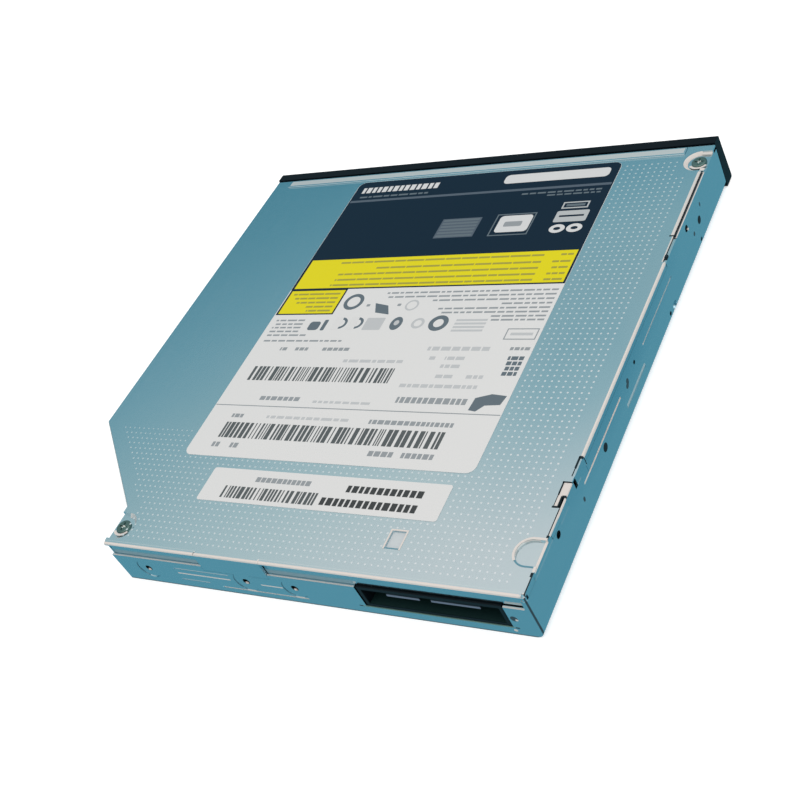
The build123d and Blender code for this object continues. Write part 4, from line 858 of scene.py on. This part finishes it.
# Small raised dots pressed into the cover
dots = {
    "origin": (-48.88, 45.1),
    "pitch": (1.53, 1.51),
    "radius": 0.28,
    "crown": 0.18,
    "rise": 0.042,
    "sides": 8,
    "top": 12.4,
    "x": (-61.2, 61.0),
    "y": (-58.4, 60.4),
    "clear": [
        (-43.4, 33.8, -60.0, 37.5),
        (-40.4, 22.0, 39.4, 49.6),
        (-35.4, -30.6, 51.2, 56.6),
        (-64.0, -58.0, 50.0, 57.2),
        (-64.0, -57.6, -62.0, -53.0),
        (-63.5, -61.0, -62.0, 62.0),
    ],
    "cornerX": 36.6,
    "cornerSum": 88.0,
    "cornerY": 50.0,
    "fadeX": 34.0,
    "fadeY": (29.0, 37.0),
    "least": 0.05,
    "frontShade": (0.36, 0.54, 0.58),
    "rearTone": (0.74, 0.79, 0.81),
    "toneRun": (0.2, 0.16),
    "toneStart": 0.35,
}


def dotAllowed(x, y):
    if any(x0 < x < x1 and y0 < y < y1 for x0, x1, y0, y1 in dots["clear"]):
        return False
    if x > dots["cornerX"] and x + y > dots["cornerSum"]:
        return False
    return x < dots["cornerX"] or y < dots["cornerY"]


def dotRise(x, y):
    # The dots fade out towards the front of the cut side
    if x < dots["fadeX"]:
        return 1.0
    low, high = dots["fadeY"]
    return max(0.0, min(1.0, (y - low) / (high - low)))


def dotSteel():
    finish, material = newFinish("dotSteel", {"Metallic": 0.15})
    clouds = finish.cloud(300.0)
    runX, runY = dots["toneRun"]
    # Painted highlight: the dots are lighter toward the rear and toward low x, and darker toward the
    # front
    rearward = finish.axis("Y") / runY - finish.axis("X") / runX + dots["toneStart"]
    dress(finish, {
        "Base Color": finish.blend(rearward + clouds * 0.1, dots["frontShade"], dots["rearTone"]),
        "Roughness": clouds * 0.1 + 0.35,
    })
    return material


def dotPlaces():
    (x0, y0), (stepX, stepY) = dots["origin"], dots["pitch"]
    firstX, lastX = math.ceil((dots["x"][0] - x0) / stepX), math.floor((dots["x"][1] - x0) / stepX)
    firstY, lastY = math.ceil((dots["y"][0] - y0) / stepY), math.floor((dots["y"][1] - y0) / stepY)
    for i in range(firstX, lastX + 1):
        for j in range(firstY, lastY + 1):
            yield x0 + i * stepX, y0 + j * stepY


def pressDots():
    form = Form()
    top, sides = dots["top"], dots["sides"]
    for x, y in dotPlaces():
        rise = dotRise(x, y) if dotAllowed(x, y) else 0
        if rise > dots["least"]:
            form.prism(roundOutline(x, y, dots["radius"], sides), top - sunk, top + dots["rise"] * rise,
                       roundOutline(x, y, dots["crown"], sides))
    return form.piece("coverDots", dotSteel(), "case_steel")


pressDots()
print("dots pressed")

# Folded and pressed edges of the case that are too small for the part's source, with pale pieces for
# painted highlights and dark pieces for painted shade. Boxes in millimetres.
folds = {
    "top": 12.4,
    "run": [(61.9, 12.39), (62.65, 12.39), (62.93, 12.27), (63.05, 12.0), (63.03, 11.7),
            (62.42, 11.0), (61.9, 11.0)],
    "spans": [(-63.3, -4.25), (13.35, 39.3)],
    "bead": 0.07,
    "shade": 0.03,
    "skin": 0.01,
    "frontScrew": (-61.7, -57.5),
    "rearScrew": (37.1, 57.9),
    "recess": (3.5, 2.65, 11.74),
    "recessWidth": 2.2,
    "recessDrop": 0.3,
    "seat": (2.45, 1.85, 11.95, 12.0, 35, 150),
    "pocket": (-61.6, 53.6, 2.9),
    "pocketEdge": -63.9,
    "pocketRim": 0.5,
    "pocketShade": (0.35, -63.4),
    "square": (-33.0, 53.9, 1.65, 2.0),
    "squareRim": 0.35,
    "squareShade": 0.25,
    "tabs": [
        (-63.95, -63.3, 62.4, 63.0, 8.4, 11.9),
        (-63.97, -63.45, 40.6, 45.4, 8.5, 11.9),
        (-63.97, -63.45, 49.3, 58.3, 10.4, 11.95),
        (-63.93, -63.45, 30.95, 35.9, 7.9, 12.3),
        (-63.9, -62.2, 35.8, 37.1, 12.05, 12.39),
        (-63.9, -62.2, 43.3, 45.3, 12.05, 12.39),
    ],
    # Pale strips as painted highlights along tab edges
    "wornTabs": [
        (-63.95, -62.45, 37.4, 40.4, 11.9, 12.36),
        (-63.0, -62.35, 40.4, 42.9, 11.9, 12.36),
        (-63.9, -62.9, -54.6, -53.75, 12.2, 12.45),
        (-63.98, -63.72, 40.9, 45.3, 11.9, 12.3),
    ],
    "rearHoles": (31.0, 3.3, -9.4),
    "holeGlint": (-0.25, 0.4, 62.7, 62.88, 4.02, 4.5),
    "seamDepth": 0.4,
    "seams": [
        (-63.5, -62.1, 37.1, 37.4),
        (-62.45, -62.15, 37.1, 40.1),
        (-63.95, -63.3, 40.4, 40.8),
        (-63.3, -63.0, 40.6, 43.0),
        (-63.3, -62.0, 42.9, 43.3),
        (-63.5, -63.2, 31.0, 33.8),
        (-63.95, -63.2, 30.9, 31.35),
        (-63.78, -63.58, 43.4, 49.6),
        (-63.98, -63.45, 49.6, 50.6),
        (-63.98, -63.45, 57.8, 58.7),
        (-63.8, -62.35, -31.75, -31.4),
        (-63.95, -63.3, -25.4, -24.6),
        (-63.98, -63.75, 58.7, 62.5),
    ],
}


def beadFrame(form, x, y, halfX, halfY, width, low, high, sides):
    # Chosen sides of a rectangular bead: l and r along y, b and t along x
    if "l" in sides:
        form.box(x - halfX - width, x - halfX, y - halfY - width, y + halfY + width, low, high)
    if "r" in sides:
        form.box(x + halfX, x + halfX + width, y - halfY - width, y + halfY + width, low, high)
    if "b" in sides:
        form.box(x - halfX, x + halfX, y - halfY - width, y - halfY, low, high)
    if "t" in sides:
        form.box(x - halfX, x + halfX, y + halfY, y + halfY + width, low, high)


def foldedEdges():
    outer, inner, floor = folds["recess"]
    form = Form()
    for x0, x1 in folds["spans"]:
        form.beam(folds["run"], x0, x1)
    for tab in folds["tabs"]:
        form.box(*tab)
    form.arc(*folds["rearScrew"], outer, inner, floor, folds["top"] - folds["skin"], 90, 270)
    form.piece("foldedEdges", finishes["case_steel"], "case_steel")


# Pale pieces in painted highlight: screw recess walls and seats, the pocket and square beads, tab edges
# and glints in the rear holes
def wornEdges():
    top = folds["top"]
    outer, inner, floor = folds["recess"]
    form = Form()
    x, y = folds["frontScrew"]
    form.arc(x, y, outer, inner, floor, top - folds["skin"], -90, 90)
    form.box(x - folds["recessWidth"], x, y - outer, y - inner, floor, top - folds["recessDrop"])
    for screw in (folds["frontScrew"], folds["rearScrew"]):
        form.arc(*screw, *folds["seat"])
    x, y, radius = folds["pocket"]
    high, rim = top + folds["bead"], folds["pocketRim"]
    form.arc(x, y, radius + rim, radius, high, high, -90, 40)
    form.box(folds["pocketEdge"], x, y - radius - rim, y - radius, top - sunk, high)
    beadFrame(form, *folds["square"], folds["squareRim"], top - sunk, high, "lrb")
    for tab in folds["wornTabs"]:
        form.box(*tab)
    x0, x1, *rest = folds["holeGlint"]
    for x in folds["rearHoles"]:
        form.box(x + x0, x + x1, *rest)
    form.piece("wornEdges", wornSteel, "case_steel")


def seamShades():
    top = folds["top"]
    form = Form()
    for seam in folds["seams"]:
        form.box(*seam, top - folds["seamDepth"], top + folds["shade"])
    form.piece("seamShades", tealShade, "case_steel")


def pocketShades():
    top, high = folds["top"], folds["top"] + folds["shade"]
    form = Form()
    x, y, radius = folds["pocket"]
    width, edge = folds["pocketShade"]
    form.arc(x, y, radius + width, radius, high, high, 40, 90)
    form.box(edge, x, y + radius, y + radius + width, top - sunk, high)
    beadFrame(form, *folds["square"], folds["squareShade"], top - sunk, high, "t")
    form.piece("pocketShades", blueShade, "case_steel")


# A pale, barely metallic finish for painted highlights
wornSteel = printed("wornSteel", sheet["worn"], 0.05, 0.42)
tealShade = moulded("tealShade", (0.004, 0.014, 0.02), (0.01, 0.028, 0.038), 0.5, shine=0.2)
blueShade = moulded("blueShade", (0.10, 0.27, 0.35), (0.14, 0.32, 0.4), 0.4, shine=0.3)
foldedEdges()
wornEdges()
seamShades()
pocketShades()

# Painted highlights on the connector's tongue tops and on the square pocket's floor, and a dark plate
# for the socket's floor
trim = {
    "tongues": [(-39.5, -32.1), (-52.6, -42.1)],
    "tongue": (62.38, 62.48, 5.92, 6.5),
    "floor": [(-57.05, -26.95, 53.6, 62.8, 3.08, 3.14)],
    "square": [(-34.6, -31.4, 51.95, 55.85, 11.98, 12.03)],
}
tongueHighlight = moulded("tongueTops", (0.13, 0.17, 0.24), (0.16, 0.2, 0.28), 0.4)
floorTone = moulded("socketFloor", (0.006, 0.024, 0.024), (0.01, 0.034, 0.034), 0.45, shine=0.3)
squareHighlight = printed("pocketFloor", (0.66, 0.71, 0.73), 0.08, 0.4)


def trimPiece(name, boxes, material, slot):
    form = Form()
    for box in boxes:
        form.box(*box)
    form.piece(name, material, slot)


trimPiece("tongueTops", [(*span, *trim["tongue"]) for span in trim["tongues"]], tongueHighlight,
          "connector_plastic")
trimPiece("socketFloor", trim["floor"], floorTone, "board_green")
trimPiece("pocketFloor", trim["square"], squareHighlight, "case_steel")
print("edges folded")

# Studio: white round the object for the camera, a teal-to-white sky for reflections
studio = {
    "sky": [(0.0, (0.08, 0.25, 0.33)), (0.45, (0.085, 0.28, 0.36)), (0.494, (0.15, 0.36, 0.44)),
            (0.527, (0.22, 0.43, 0.51)), (0.548, (0.31, 0.50, 0.55)), (0.582, (0.42, 0.55, 0.57)),
            (0.6145, (0.56, 0.65, 0.66)), (0.6435, (0.67, 0.72, 0.70)), (0.711, (0.94, 0.83, 0.80)),
            (0.85, (1.0, 0.92, 0.87))],
    "tilt": (0.1, 0.5),
    "skyLight": 0.74,
    "floor": 0.86,
    "floorSize": 6,
    "floorRough": 0.9,
    "floorGlow": 0.5,
    "floorSeen": (0.14, 0.37, 0.46),
    "lampPlace": (-0.35, 0.1, 0.75),
    "lampSize": 0.7,
    "lampPower": 1.5,
}


def buildWorld():
    world = bpy.data.worlds.new("studio")
    bpy.context.scene.world = world
    sky = Finish(world)
    back = sky.tree.nodes["Background"]
    ways = [sky.node("SeparateXYZ", values={0: sky.node("TexCoord", out="Generated")}, out=name)
            for name in "YZ"]
    share, lift = studio["tilt"]
    height = (ways[0] + lift) * share + ways[1]
    shade = sky.node("ValToRGB", {"stops": studio["sky"]}, {0: height})
    paths = {name: sky.node("LightPath", out=f"Is {name} Ray") for name in ("Camera", "Glossy")}
    plain = sky.blend(paths["Camera"], (studio["skyLight"],) * 3, (1, 1, 1))
    sky.feed(back, {"Color": sky.blend(paths["Glossy"], plain, shade), "Strength": 1.0})


def buildFloor():
    bpy.ops.mesh.primitive_plane_add(size=studio["floorSize"])
    floor = bpy.context.object
    floor.name = "floor"
    finish, material = newFinish("paleFloor", {"Base Color": (studio["floor"],) * 3,
                                               "Roughness": studio["floorRough"]})
    floor.data.materials.append(material)
    paths = {name: finish.node("LightPath", out=f"Is {name} Ray") for name in ("Camera", "Glossy")}
    glow = finish.blend(paths["Camera"], (0, 0, 0), (studio["floorGlow"],) * 3)
    dress(finish, {"Emission Color": glow, "Emission Strength": 1.0})
    teal = finish.node("Emission", values={"Color": studio["floorSeen"], "Strength": 1.0})
    shader = finish.tree.nodes["Principled BSDF"].outputs[0]
    mixed = finish.node("MixShader", values={0: paths["Glossy"], 1: Wire(finish, shader), 2: teal})
    # Seen from below, the floor is clear
    below = finish.node("NewGeometry", out="Backfacing")
    clear = finish.node("BsdfTransparent")
    mixed = finish.node("MixShader", values={0: below, 1: mixed, 2: clear})
    finish.feed(finish.tree.nodes["Material Output"], {"Surface": mixed})


def buildLamp():
    data = bpy.data.lights.new("softBox", "AREA")
    data.shape = "SQUARE"
    data.size = studio["lampSize"]
    data.energy = studio["lampPower"]
    lamp = bpy.data.objects.new("softBox", data)
    bpy.context.scene.collection.objects.link(lamp)
    lamp.location = studio["lampPlace"]
    lamp.rotation_mode = "QUATERNION"
    lamp.rotation_quaternion = (-Vector(studio["lampPlace"])).to_track_quat("-Z", "Y")


bpy.context.scene.view_settings.view_transform = "Standard"
buildWorld()
buildFloor()
buildLamp()
print("studio lit")
